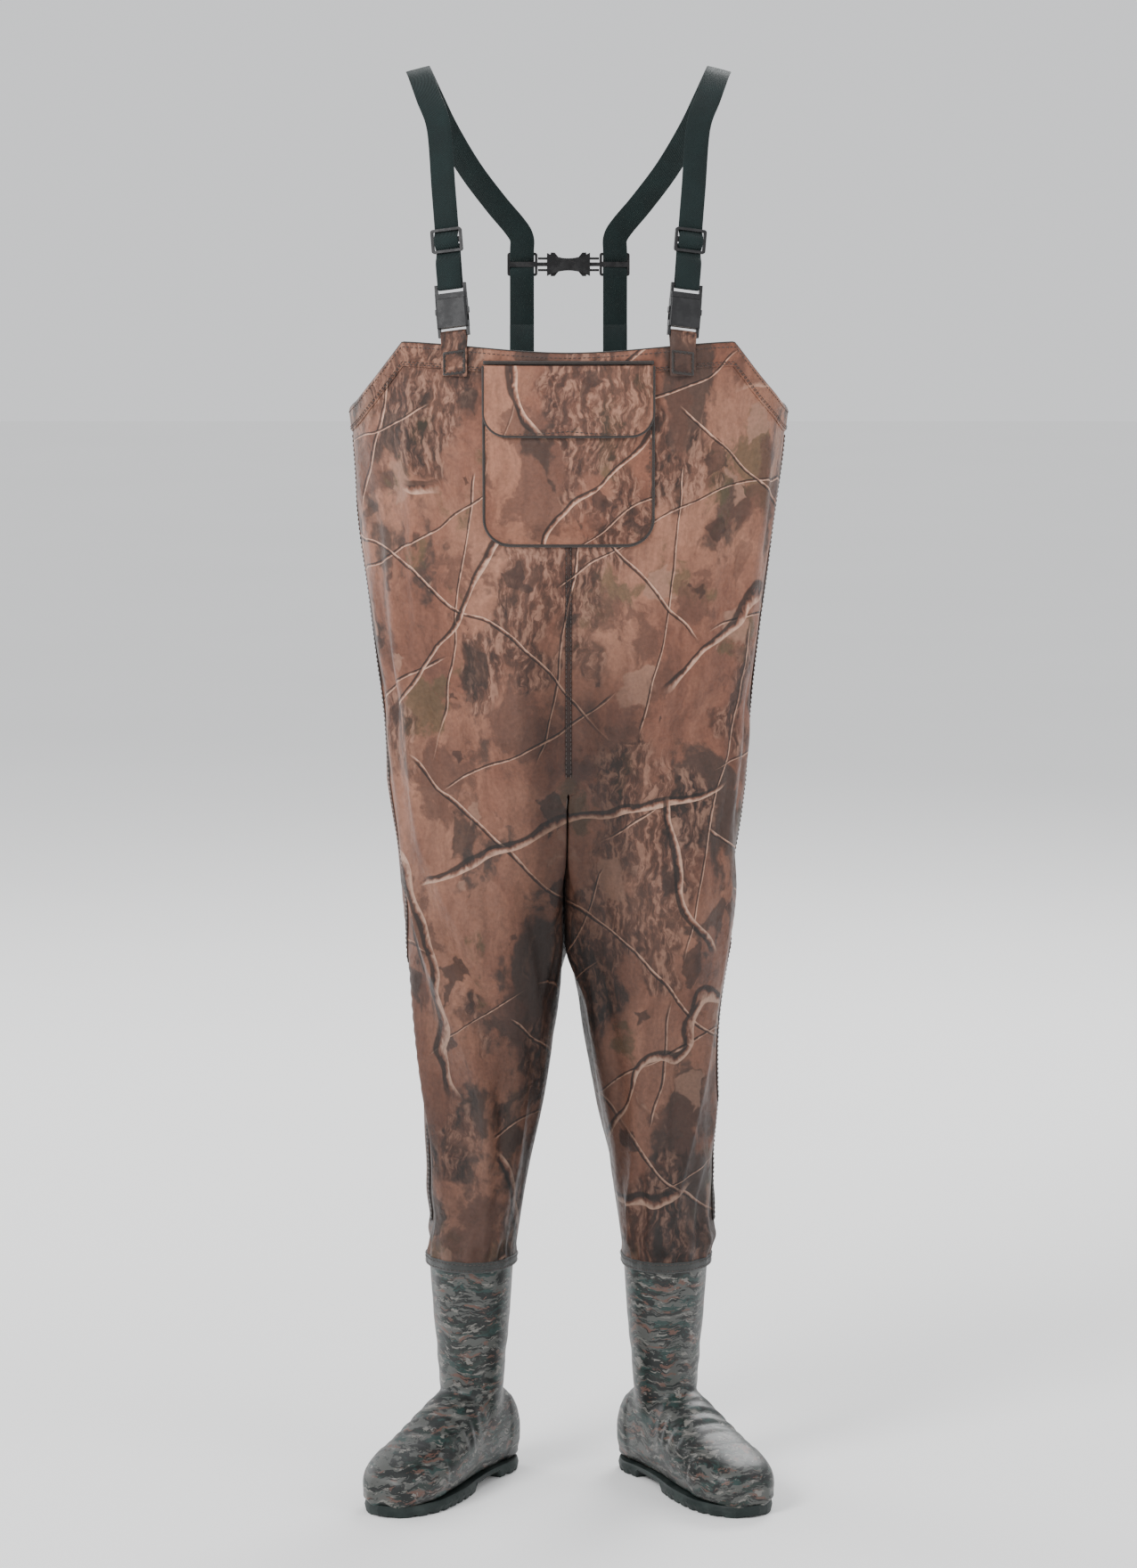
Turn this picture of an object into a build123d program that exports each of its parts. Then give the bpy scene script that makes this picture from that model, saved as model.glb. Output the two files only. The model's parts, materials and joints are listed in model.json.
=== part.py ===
from build123d import *
import os
from math import copysign, cos, pi, sin

# Chest waders standing on their boot soles, in millimetres.
# +Z is up, the front faces -Y, and the wearer's left side is +X.

# heights, and the drop of the hem from its front edge
crotch_height = 820.0
bib_rise = 510.0
side_drop = 83.0
back_drop = 72.0
boot_top = 266.0
front_top = crotch_height + bib_rise
side_top = front_top - side_drop
back_top = front_top - back_drop

# body of the garment: (share of the bib's rise above the crotch, half width, half depth)
body_stations = [
    (0.0, 206.0, 104.0),
    (0.235, 217.0, 122.0),
    (0.53, 231.0, 144.0),
    (0.837, 247.0, 157.0),
    (1.04, 254.0, 162.0),
]
body_rows = [(crotch_height + share * bib_rise, width, depth) for share, width, depth in body_stations]
body_squareness = 2.5
fabric = 2.5
layer_gap = 0.3

# legs: (share of the way down from the crotch to the boot, inner edge x, outer edge x, half depth, squareness)
leg_stations = [
    (0.0, 3.0, 206.0, 104.0, 2.8),
    (0.2, 4.0, 191.0, 98.0, 2.5),
    (0.4, 7.0, 178.0, 88.0, 2.3),
    (0.525, 14.0, 172.0, 82.0, 2.2),
    (0.66, 28.0, 167.0, 76.0, 2.1),
    (0.82, 47.0, 161.0, 68.0, 2.0),
    (1.0, 63.0, 162.0, 62.0, 2.0),
]
leg_rows = [(crotch_height - row[0] * (crotch_height - boot_top), *row[1:]) for row in leg_stations]

# hem, seams and elastic
hem_depth = 25.0
hem_thickness = 1.8
hem_corner = 181.0
seam_width = 12.0
seam_thickness = 1.2
elastic_half_width = 105.0
elastic_depth = 18.0

# chest pocket and its flap
pocket_width = 188.0
pocket_drop = 21.0
pocket_top = front_top - pocket_drop
pocket_height = 203.0
pocket_corner = 30.0
pocket_cloth = 1.6
pouch_fullness = 13.0
pouch_mouth_drop = 14.0
flap_length = 79.0
flap_cloth = 2.0
flap_clearance = 1.2
piping_height = 4.0
pad_width = 60.0
pad_height = 18.0

# inner pocket that hangs behind the bib
inner_pocket_width = 190.0
inner_pocket_height = 170.0
inner_pocket_drop = 12.0

# webbing and its sewn tabs
webbing_width = 28.0
webbing_thickness = 1.6
webbing_play = 1.0
tab_width = webbing_width + 2 * webbing_play
tab_length = 34.0
tab_thickness = 2.0
tab_rise = 12.0
tab_overlap = 3.0
pocket_to_tab = 18.0
front_tab_x = pocket_width / 2 + pocket_to_tab + tab_width / 2

# front side-release buckle, along the strap from the bar that the tab holds
bar_radius = 2.2
bar_clearance = 0.5
buckle_cheek = 3.0
buckle_half_width = tab_width / 2 + buckle_cheek
buckle_half_thickness = 5.5
buckle_wall = 2.0
socket_floor = 8.0
socket_mouth = 40.0
latch_window = (14.0, 30.0)
latch_gap = 0.6
plug_collar = 6.0
plug_bar_rise = 14.0
arm_thickness = 3.2
arm_root_gap = 0.5
guide_half_width = 3.0
strap_lean = 12.0
strap_splay = 8.0
strap_yaw = 14.5

# strap adjuster
adjuster_place = 106.0
adjuster_half_height = 13.5
adjuster_thickness = 3.5
adjuster_rim = 3.0
adjuster_half_width = tab_width / 2 + adjuster_rim
adjuster_bar = 6.0
strap_straight = 235.0

# rear rings
ring_height = 18.5
ring_rod = 4.5
ring_side = 3.5
ring_half_width = tab_width / 2 + ring_side
ring_loop_gap = 1.1

# connector across the back
connector_rise = 70.0
connector_y = 165.0
slider_rim = 3.0
slider_half_height = 13.5
hub_half_length = 25.0
hub_waist = 7.0
hub_cavity_start = 9.0
hub_wall = 2.0
prong_show = 11.0
connector_height = front_top + connector_rise
slider_half_width = webbing_width / 2 + webbing_play / 2 + slider_rim
rear_tab_x = hub_half_length + prong_show + slider_half_width + 0.5

# route of the left webbing from its straight front run to the back: (x, y, rise above the front hem)
shoulder_route = [
    (157.0, -62.0, 272.0),
    (166.0, -28.0, 294.0),
    (170.0, 8.0, 300.0),
    (167.0, 45.0, 291.0),
    (157.0, 82.0, 266.0),
    (140.0, 113.0, 228.0),
    (114.0, 139.0, 182.0),
    (85.0, 156.0, 142.0),
    (62.0, 164.0, 114.0),
]
back_straight_rise = 100.0

# boots
leg_centre_x = 112.5
toe_out = 28.0
boot_wall = 4.0
sole_top = 15.0
sole_plate = 7.0
arch_front = -62.0
arch_back = 8.0
insole_thickness = 4.0
cuff_height = 22.0
cuff_thickness = 2.0
cuff_gap = 2.6
# shaft: (height, half width, half depth, centre y)
shaft_rows = [
    (70.0, 35.0, 47.0, 2.0),
    (115.0, 37.0, 48.0, 0.0),
    (190.0, 44.0, 56.0, 0.0),
    (boot_top, 49.5, 62.0, 0.0),
]
# foot: (y along the foot, half width, top height)
foot_rows = [
    (71.0, 22.0, 62.0),
    (58.0, 32.0, 92.0),
    (20.0, 36.0, 112.0),
    (-40.0, 39.0, 112.0),
    (-100.0, 46.0, 84.0),
    (-155.0, 47.0, 66.0),
    (-192.0, 36.0, 54.0),
    (-207.0, 20.0, 42.0),
]
# outline of the sole: (y along the foot, half width)
sole_rows = [(62.0, 27.0), (40.0, 35.0), (-20.0, 34.0), (-90.0, 45.0), (-150.0, 47.0), (-190.0, 34.0)]
sole_heel = 75.0
sole_toe = -210.0


def solid_box(x, y, z):
    """A box from its low and high x, y and z."""
    size = (x[1] - x[0], y[1] - y[0], z[1] - z[0])
    middle = ((x[0] + x[1]) / 2, (y[0] + y[1]) / 2, (z[0] + z[1]) / 2)
    return Pos(*middle) * Box(*size)


def oval(half_width, half_depth, squareness, centre=(0.0, 0.0)):
    """A closed rounded outline on the XY plane, squarer as squareness grows past 2."""
    points = []
    for step in range(20):
        angle = 2 * pi * step / 20
        across = copysign(abs(cos(angle)) ** (2 / squareness), cos(angle))
        along = copysign(abs(sin(angle)) ** (2 / squareness), sin(angle))
        points.append((centre[0] + half_width * across, centre[1] + half_depth * along))
    return make_face(Spline(*points, periodic=True))


def body_form(grow):
    """The filled body of the garment, grown outward by grow."""
    sections = [
        Pos(0, 0, height) * oval(width + grow, depth + grow, body_squareness)
        for height, width, depth in body_rows
    ]
    return loft(sections)


def body_half_depth(height):
    """Half the depth of the body at a height."""
    for low, high in zip(body_rows, body_rows[1:]):
        if height <= high[0]:
            share = (height - low[0]) / (high[0] - low[0])
            return low[2] + share * (high[2] - low[2])
    return body_rows[-1][2]


def body_y(x, height, side):
    """The y of the outer cloth at x and a height, on the front (side -1) or the back (side 1)."""
    width = body_rows[-2][1]
    share = abs(x / width) ** body_squareness
    return side * body_half_depth(height) * (1 - share) ** (1 / body_squareness)


def below_hem(drop):
    """Everything under the top hem line lowered by drop."""
    far = 400.0
    side = body_rows[-2][1]
    front = [
        (-far, 0),
        (-far, side_top - drop),
        (-side, side_top - drop),
        (-hem_corner, front_top - drop),
        (hem_corner, front_top - drop),
        (side, side_top - drop),
        (far, side_top - drop),
        (far, 0),
    ]
    back = [(0, 0), (0, side_top - drop), (far, back_top - drop + 10), (far, 0)]
    ahead = extrude(Plane.XZ * make_face(Polyline(*front, close=True)), amount=far)
    behind = extrude(Plane.YZ * make_face(Polyline(*back, close=True)), amount=far, both=True)
    return ahead + behind


def skin(inner, outer):
    """The layer of cloth between two offsets of the body."""
    return body_form(outer) - body_form(inner)


def front_half():
    return solid_box((-400, 400), (-400, -0.1), (0, 2000))


def back_half():
    return solid_box((-400, 400), (0.1, 400), (0, 2000))


def body_panels():
    shell = skin(-fabric, 0) & below_hem(0)
    return shell & front_half(), shell & back_half()


def hem_bands():
    band = skin(layer_gap, layer_gap + hem_thickness) & below_hem(0)
    band = band - below_hem(hem_depth)
    return band & front_half(), band & back_half()


def back_elastic():
    inner = -fabric - layer_gap - hem_thickness
    band = skin(inner, inner + hem_thickness) & below_hem(3)
    band = band - below_hem(3 + elastic_depth)
    return band & solid_box((-elastic_half_width, elastic_half_width), (0, 400), (0, 2000))


def seam_strips():
    strip = skin(layer_gap, layer_gap + seam_thickness)
    half = seam_width / 2
    pocket_bottom = pocket_top - pocket_height
    front = strip & solid_box((-half, half), (-400, 0), (crotch_height, pocket_bottom - 4))
    back = strip & solid_box((-half, half), (0, 400), (crotch_height, side_top - hem_depth - 4))
    return front, back


def leg_form(shrink):
    sections = []
    for height, inner, outer, depth, squareness in leg_rows:
        half = (outer - inner) / 2 - shrink
        centre = ((inner + outer) / 2, 0)
        sections.append(Pos(0, 0, height) * oval(half, depth - shrink, squareness, centre))
    return loft(sections)


def leg():
    return leg_form(0) - leg_form(fabric)


def crotch_gusset():
    half_length = body_rows[0][2] - fabric - 8
    outline = Ellipse(14, half_length)
    return Pos(0, 0, crotch_height) * extrude(outline, amount=fabric)


def rounded_patch(width, low, high, corner):
    """A tall prism on the front, with its two lower corners rounded."""
    half = width / 2
    sheet = Pos(0, (low + high) / 2) * Rectangle(width, high - low)
    if corner > 0:
        sheet = fillet(sheet.vertices().sort_by(Axis.Y)[:2], corner)
    return extrude(Plane.XZ * sheet, amount=400)


def pouch_wedge(grow):
    """The room of the pouch: thin at the mouth, full at the bottom."""
    low = pocket_top - pocket_height
    full = pouch_fullness + grow
    slim = 3.5 + grow
    return body_form(full) & below_slant(low, full, slim)


def below_slant(low, full, slim):
    """What lies behind a plane that leans back from the pouch's full bottom to its slim mouth."""
    bottom_y = -(body_half_depth(low) + full)
    top_y = -(body_half_depth(pocket_top) + slim)
    slope = (top_y - bottom_y) / (pocket_top - low)
    outline = [
        (bottom_y - 60 * slope, low - 60),
        (top_y + 60 * slope, pocket_top + 60),
        (0, pocket_top + 60),
        (0, low - 60),
    ]
    return extrude(Plane.YZ * make_face(Polyline(*outline, close=True)), amount=400, both=True)


def pocket_pouch():
    low = pocket_top - pocket_height
    mouth = pocket_top - pouch_mouth_drop
    outside = pouch_wedge(pocket_cloth) - body_form(layer_gap)
    outside = outside & rounded_patch(pocket_width, low, mouth, pocket_corner)
    room = pouch_wedge(0) & rounded_patch(
        pocket_width - 2 * pocket_cloth, low + pocket_cloth, mouth + 20, pocket_corner - pocket_cloth
    )
    return outside - room


def flap_offset():
    """How far in front of the cloth the middle of the flap's top edge lies."""
    return 3.5 + pocket_cloth + flap_clearance


def pocket_flap():
    near = pouch_wedge(pocket_cloth + flap_clearance)
    outer = pouch_wedge(pocket_cloth + flap_clearance + flap_cloth)
    patch = rounded_patch(pocket_width, pocket_top - flap_length, pocket_top, 26)
    return (outer - near) & patch


def flap_piping():
    half = pocket_width / 2
    outer = layer_gap + hem_thickness + 0.3
    strip = skin(outer, flap_offset() - 0.4)
    low = pocket_top + 0.6
    return strip & solid_box((-half, half), (-400, 0), (low, low + piping_height))


def closure_pads():
    """The loop pad sewn on the pouch and the hook pad sewn behind the flap."""
    half = pad_width / 2
    low = pocket_top - flap_length + 10
    region = solid_box((-half, half), (-400, 0), (low, low + pad_height))
    start = pocket_cloth + 0.1
    middle = pocket_cloth + flap_clearance / 2
    loop_pad = (pouch_wedge(middle - 0.05) - pouch_wedge(start)) & region
    hook_pad = (pouch_wedge(pocket_cloth + flap_clearance - 0.05) - pouch_wedge(middle + 0.05)) & region
    return loop_pad, hook_pad


def inner_pocket():
    half = inner_pocket_width / 2
    high = front_top - inner_pocket_drop
    sheet = skin(-fabric - 3.4, -fabric - 1.8)
    return sheet & solid_box((-half, half), (-400, 0), (high - inner_pocket_height, high))


def tab(x, top, side, turn, loop_inner):
    """A cloth tab that straddles the hem and loops round a bar above it."""
    centre_y = body_y(x, top, side) - side * fabric / 2
    half = tab_width / 2
    outer = layer_gap + hem_thickness + 0.3
    inner = -fabric - layer_gap - hem_thickness - 0.3
    region = solid_box((x - half, x + half), (min(0, side * 400), max(0, side * 400)), (top - tab_length, top + tab_overlap))
    strips = skin(outer, outer + tab_thickness) + skin(inner - tab_thickness, inner)
    strips = strips & region
    loop_outer = loop_inner + tab_thickness
    place = Pos(x, centre_y, top + tab_rise) * turn
    loop = Rot(0, 90, 0) * (Cylinder(loop_outer, tab_width) - Cylinder(loop_inner, tab_width))
    loop = loop - solid_box((-half, half), (-loop_outer, loop_outer), (-loop_outer, 0))
    drop = (-tab_rise + tab_overlap - 0.2, 0)
    plates = solid_box((-half, half), (loop_inner, loop_outer), drop)
    plates = plates + solid_box((-half, half), (-loop_outer, -loop_inner), drop)
    return strips + place * (loop + plates)


def front_turn():
    """The yaw and sideways splay that the front tab and its buckle share."""
    return Rot(0, 0, strap_yaw) * Rot(0, strap_splay, 0)


def front_frame():
    """The frame of the left front strap: its z runs up the strap from the tab's bar."""
    y = body_y(front_tab_x, front_top, -1) + fabric / 2
    return Pos(front_tab_x, y, front_top + tab_rise) * front_turn() * Rot(-strap_lean, 0, 0)


def buckle_socket():
    half, thick = buckle_half_width, buckle_half_thickness
    body = solid_box((-half, half), (-thick, thick), (socket_floor, socket_mouth))
    body = fillet(body.edges().filter_by(Axis.Z), 2.5)
    cavity = solid_box(
        (-half + buckle_wall + 0.5, half - buckle_wall - 0.5),
        (-thick + buckle_wall, thick - buckle_wall),
        (socket_floor + 3, socket_mouth + 1),
    )
    window = solid_box((-half - 1, half + 1), (-thick + buckle_wall, thick - buckle_wall), latch_window)
    inside = half - buckle_cheek
    cheeks = solid_box((-half, -inside), (-bar_radius, bar_radius), (-bar_radius, socket_floor + 1))
    cheeks = cheeks + solid_box((inside, half), (-bar_radius, bar_radius), (-bar_radius, socket_floor + 1))
    bar = Rot(0, 90, 0) * Cylinder(bar_radius, 2 * half - 1)
    return body - cavity - window + cheeks + bar


def buckle_plug():
    half = buckle_half_width
    low = socket_mouth + arm_root_gap
    high = low + plug_collar
    collar = solid_box((-half, half), (-4.5, 4.5), (low, high))
    collar = fillet(collar.edges().filter_by(Axis.Z), 2.0)
    guide = solid_box((-guide_half_width, guide_half_width), (-2.4, 2.4), (socket_floor + 6, low + 1))
    bar_z = low + plug_bar_rise
    inside = half - buckle_cheek
    cheeks = solid_box((-half, -inside), (-bar_radius, bar_radius), (high - 1, bar_z + bar_radius))
    cheeks = cheeks + solid_box((inside, half), (-bar_radius, bar_radius), (high - 1, bar_z + bar_radius))
    bar = Pos(0, 0, bar_z) * Rot(0, 90, 0) * Cylinder(bar_radius, 2 * half - 1)
    return collar + guide + cheeks + bar


def prong_arm(root_gap_line, tip_line, catch_line, catch_out, half_thick):
    """A springy arm on +X that hangs from its root and carries an outward catch at its tip."""
    inner = 8.6
    outer = inner + arm_thickness
    outline = [
        (inner, root_gap_line),
        (inner, tip_line + 2),
        (inner + 1.5, tip_line),
        (outer + 1.0, tip_line),
        (catch_out, catch_line - 6),
        (catch_out, catch_line),
        (outer, catch_line),
        (outer, root_gap_line),
    ]
    return extrude(Plane.XZ * make_face(Polyline(*outline, close=True)), amount=half_thick, both=True)


def buckle_arm():
    root = socket_mouth
    return prong_arm(root, latch_window[0] + 2, latch_window[1] - latch_gap, buckle_half_width + 1.2, 2.8)


def adjuster():
    half, high, thick = adjuster_half_width, adjuster_half_height, adjuster_thickness / 2
    frame = solid_box((-half, half), (-thick, thick), (-high, high))
    frame = fillet(frame.edges().filter_by(Axis.Y), 3.0)
    low_z, high_z = adjuster_bar / 2, high - adjuster_rim
    for sign in (-1, 1):
        near, far = sorted((sign * low_z, sign * high_z))
        frame = frame - solid_box((-half + adjuster_rim, half - adjuster_rim), (-9, 9), (near, far))
    return frame


def webbing_planes(points):
    """Planes across a route, their width held as near level across the body as the route lets it be."""
    planes = []
    for before, point, after in zip(points, points[1:], points[2:]):
        along = (after - before).normalized()
        hint = Vector(1, 0, -0.25)
        across = (hint - along * hint.dot(along)).normalized()
        planes.append(Plane(origin=point, x_dir=across, z_dir=along))
    return planes


def upright_plane(point):
    return Plane(origin=point, x_dir=(1, 0, 0), z_dir=(0, 0, -1))


def wrap_radius():
    """The middle radius of webbing wrapped round a buckle's bar."""
    return bar_radius + 0.4 + webbing_thickness / 2


def plug_bar_height():
    return socket_mouth + arm_root_gap + plug_bar_rise


def buckle_loop():
    """The doubled webbing between the plug's bar and the adjuster: its front layer and its turn round the bar."""
    half = webbing_width / 2
    inner, outer = bar_radius + 0.4, bar_radius + 0.4 + webbing_thickness
    turn = Rot(0, 90, 0) * (Cylinder(outer, webbing_width) - Cylinder(inner, webbing_width))
    turn = turn - solid_box((-half, half), (-outer, outer), (-outer, 0)).moved(Location((0, 0, outer)))
    end = adjuster_place - plug_bar_height() - adjuster_half_height - 1
    layer = solid_box((-half, half), (-outer, -inner), (0, end))
    return Pos(0, 0, plug_bar_height()) * (turn + layer)


def rear_ring_bar():
    """Height of the ring's lower bar, which the rear tab holds."""
    return rear_hem_height() + tab_rise


def rear_hem_height():
    share = body_y(rear_tab_x, side_top, 1) / 400
    return side_top + share * (back_top + 10 - side_top)


def ring_top_bar():
    return ring_height - ring_rod


def ring_y():
    return body_y(rear_tab_x, rear_hem_height(), 1) - fabric / 2


def strap():
    """The left shoulder webbing, from behind its adjuster to the loop round the rear ring."""
    inner = ring_rod / 2 + ring_loop_gap
    outer = inner + webbing_thickness
    bar = Vector(rear_tab_x, ring_y(), rear_ring_bar() + ring_top_bar())
    frame = front_frame()
    run = [Plane(frame * Pos(0, wrap_radius(), plug_bar_height() + 0.3)), Plane(frame * Pos(0, wrap_radius(), strap_straight))]
    route = [Vector(x, y, front_top + rise) for x, y, rise in shoulder_route]
    top = Vector(rear_tab_x, connector_y, front_top + back_straight_rise)
    over = webbing_planes([run[-1].origin, *route, top])
    down = [top, Vector(rear_tab_x, connector_y, bar.Z + 40)]
    down = down + [bar + Vector(0, (inner + outer) / 2, 12), bar + Vector(0, (inner + outer) / 2, 0)]
    planes = run + over + [upright_plane(point) for point in down]
    band = loft([plane * Rectangle(webbing_width, webbing_thickness) for plane in planes], ruled=True)
    turn = Rot(0, 90, 0) * (Cylinder(outer, webbing_width) - Cylinder(inner, webbing_width))
    return band + Pos(*bar) * turn


def rear_ring():
    half, rod = ring_half_width, ring_rod / 2
    frame = solid_box((-half, half), (-rod, rod), (-rod, ring_height - rod))
    frame = fillet(frame.edges().filter_by(Axis.Y), 3.0)
    window = solid_box((-half + ring_side, half - ring_side), (-9, 9), (rod, ring_height - 3 * rod))
    return frame - window


def slider():
    """The left webbing slider of the back connector with its collar and guide, in the connector's own frame."""
    start = hub_half_length + prong_show
    middle = start + slider_half_width
    high, thick = slider_half_height, adjuster_thickness / 2
    frame = solid_box((start, start + 2 * slider_half_width), (-thick, thick), (-high, high))
    frame = fillet(frame.edges().filter_by(Axis.Y), 3.0)
    for sign in (-1, 1):
        near, far = sorted((sign * adjuster_bar / 2, sign * (high - slider_rim)))
        window = solid_box(
            (middle - slider_half_width + slider_rim, middle + slider_half_width - slider_rim),
            (-9, 9),
            (near, far),
        )
        frame = frame - window
    guide = solid_box((hub_cavity_start + 3, start + 1), (-thick, thick), (-2.2, 2.2))
    return frame + guide


def slider_arm():
    """The upper springy arm of the left slider."""
    root = hub_half_length + prong_show - arm_root_gap
    tip = hub_cavity_start + 3
    catch = hub_half_length - 4.4
    outline = [
        (root, 5.4),
        (root, 8.0),
        (catch, 8.0),
        (catch, slider_half_height + 0.2),
        (catch - 4.5, slider_half_height + 0.2),
        (tip, 8.8),
        (tip, 6.4),
        (tip + 2, 5.4),
    ]
    return extrude(Plane.XZ * make_face(Polyline(*outline, close=True)), amount=1.6, both=True)


def connector_hub():
    """The double socket between the two sliders, narrower at its waist."""
    high, thick = slider_half_height, 4.2
    half = hub_half_length
    upper = ThreePointArc((-half, high), (0, hub_waist), (half, high))
    lower = ThreePointArc((half, -high), (0, -hub_waist), (-half, -high))
    outline = upper + Line((half, high), (half, -high)) + lower + Line((-half, -high), (-half, high))
    body = extrude(Plane.XZ * make_face(outline.edges()), amount=thick, both=True)
    for sign in (-1, 1):
        near, far = sorted((sign * hub_cavity_start, sign * (half + 1)))
        body = body - solid_box((near, far), (-2.2, 2.2), (-high + hub_wall, high - hub_wall))
        near, far = sorted((sign * (hub_cavity_start + 2.5), sign * (half - 4)))
        body = body - solid_box((near, far), (-2.2, 2.2), (-high - 1, high + 1))
    return body


def boot_filled(shrink):
    """The left boot's filled form with its ankle on the origin, before it is moved under its leg."""
    shaft_sections = [
        Pos(0, 0, height) * oval(width - shrink, depth - shrink, 2.0, (0, middle))
        for height, width, depth, middle in shaft_rows
    ]
    foot_sections = []
    last = len(foot_rows) - 1
    for number, (place, width, top) in enumerate(foot_rows):
        move = shrink if number == 0 else (-shrink if number == last else 0)
        bottom = sole_top + shrink
        half_height = (top - shrink - bottom) / 2
        middle = (top - shrink + bottom) / 2
        plane = Plane(origin=(0, place - move, middle), x_dir=(1, 0, 0), z_dir=(0, -1, 0))
        foot_sections.append(plane * oval(width - shrink, half_height, 2.6))
    return loft(shaft_sections) + Rot(0, 0, toe_out) * loft(foot_sections)


def boot_shell():
    inside = boot_filled(boot_wall)
    throat = Pos(0, 0, boot_top) * extrude(
        oval(shaft_rows[-1][1] - boot_wall, shaft_rows[-1][2] - boot_wall, 2.0), amount=5
    )
    return Pos(leg_centre_x, 0, 0) * (boot_filled(0) - inside - throat)


def sole_outline(inset):
    left = [(width - inset, place) for place, width in sole_rows]
    right = [(-width + inset, place) for place, width in reversed(sole_rows)]
    ring = [(0, sole_heel - inset), *left, (0, sole_toe + inset), *right]
    return make_face(Spline(*ring, periodic=True))


def outsole():
    gap = 0.1
    slab = extrude(sole_outline(0), amount=sole_top - gap)
    arch = solid_box((-90, 90), (arch_front, arch_back), (-1, sole_top - sole_plate))
    arch = fillet(arch.edges().filter_by(Axis.X).sort_by(Axis.Z)[-2:], 4)
    return Pos(leg_centre_x, 0, 0) * Rot(0, 0, toe_out) * (slab - arch)


def insole():
    low = sole_top + boot_wall + 9
    plate = extrude(sole_outline(19), amount=insole_thickness)
    return Pos(leg_centre_x, 0, low) * Rot(0, 0, toe_out) * plate


def boot_cuff():
    """The taped ring that joins the leg's cloth to the boot."""
    height, inner, outer, depth, _ = leg_rows[-1]
    middle, half = (inner + outer) / 2, (outer - inner) / 2
    big = oval(half + cuff_gap + cuff_thickness, depth + cuff_gap + cuff_thickness, 2.0, (middle, 0))
    small = oval(half + cuff_gap, depth + cuff_gap, 2.0, (middle, 0))
    return Pos(0, 0, height - cuff_height / 2) * (extrude(big, amount=cuff_height) - extrude(small, amount=cuff_height))


def both_sides(parts, name, shape):
    """The wearer's left piece and its mirror image."""
    parts["left_" + name] = shape
    parts["right_" + name] = mirror(shape, about=Plane.YZ)


def build_parts():
    parts = {}
    parts["front_body_panel"], parts["back_body_panel"] = body_panels()
    parts["front_hem_band"], parts["back_hem_band"] = hem_bands()
    parts["back_elastic"] = back_elastic()
    parts["centre_front_seam"], parts["centre_back_seam"] = seam_strips()
    both_sides(parts, "leg", leg())
    parts["crotch_gusset"] = crotch_gusset()
    parts["inner_pocket"] = inner_pocket()
    parts["pocket_pouch"] = pocket_pouch()
    parts["pocket_flap"] = pocket_flap()
    parts["flap_piping"] = flap_piping()
    parts["pouch_loop_pad"], parts["flap_hook_pad"] = closure_pads()

    both_sides(parts, "front_tab", tab(front_tab_x, front_top, -1, front_turn(), bar_radius + bar_clearance))
    both_sides(parts, "rear_tab", tab(rear_tab_x, rear_hem_height(), 1, Rot(0, 0, 0), ring_rod / 2 + ring_loop_gap))
    ring_place = Pos(rear_tab_x, ring_y(), rear_ring_bar())
    both_sides(parts, "rear_ring", ring_place * rear_ring())

    strap_frame = front_frame()
    both_sides(parts, "socket", strap_frame * buckle_socket())
    both_sides(parts, "plug", strap_frame * buckle_plug())
    both_sides(parts, "plug_outer_arm", strap_frame * buckle_arm())
    both_sides(parts, "plug_inner_arm", strap_frame * mirror(buckle_arm(), about=Plane.YZ))
    both_sides(parts, "adjuster", strap_frame * Pos(0, 0, adjuster_place) * adjuster())
    both_sides(parts, "buckle_loop", strap_frame * buckle_loop())
    both_sides(parts, "strap", strap())

    hub_y = connector_y + webbing_thickness / 2 + adjuster_thickness / 2 + 1.2
    connector_place = Pos(0, hub_y, connector_height)
    parts["connector_hub"] = connector_place * connector_hub()
    both_sides(parts, "slider", connector_place * slider())
    both_sides(parts, "slider_upper_arm", connector_place * slider_arm())
    both_sides(parts, "slider_lower_arm", connector_place * mirror(slider_arm(), about=Plane.XY))

    both_sides(parts, "boot_shell", boot_shell())
    both_sides(parts, "outsole", outsole())
    both_sides(parts, "insole", insole())
    both_sides(parts, "boot_cuff", boot_cuff())
    return parts


def centre_shift(parts):
    """The move along Y that puts the middle of the whole object's footprint over the origin."""
    boxes = [shape.bounding_box() for shape in parts.values()]
    low = min(box.min.Y for box in boxes)
    high = max(box.max.Y for box in boxes)
    return -(low + high) / 2


os.makedirs("parts", exist_ok=True)
parts = build_parts()
shift = centre_shift(parts)
for name, shape in parts.items():
    export_step(Pos(0, shift, 0) * shape, f"parts/{name}.step")
print("nodes", len(parts), "shift along Y", round(shift, 3))
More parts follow.
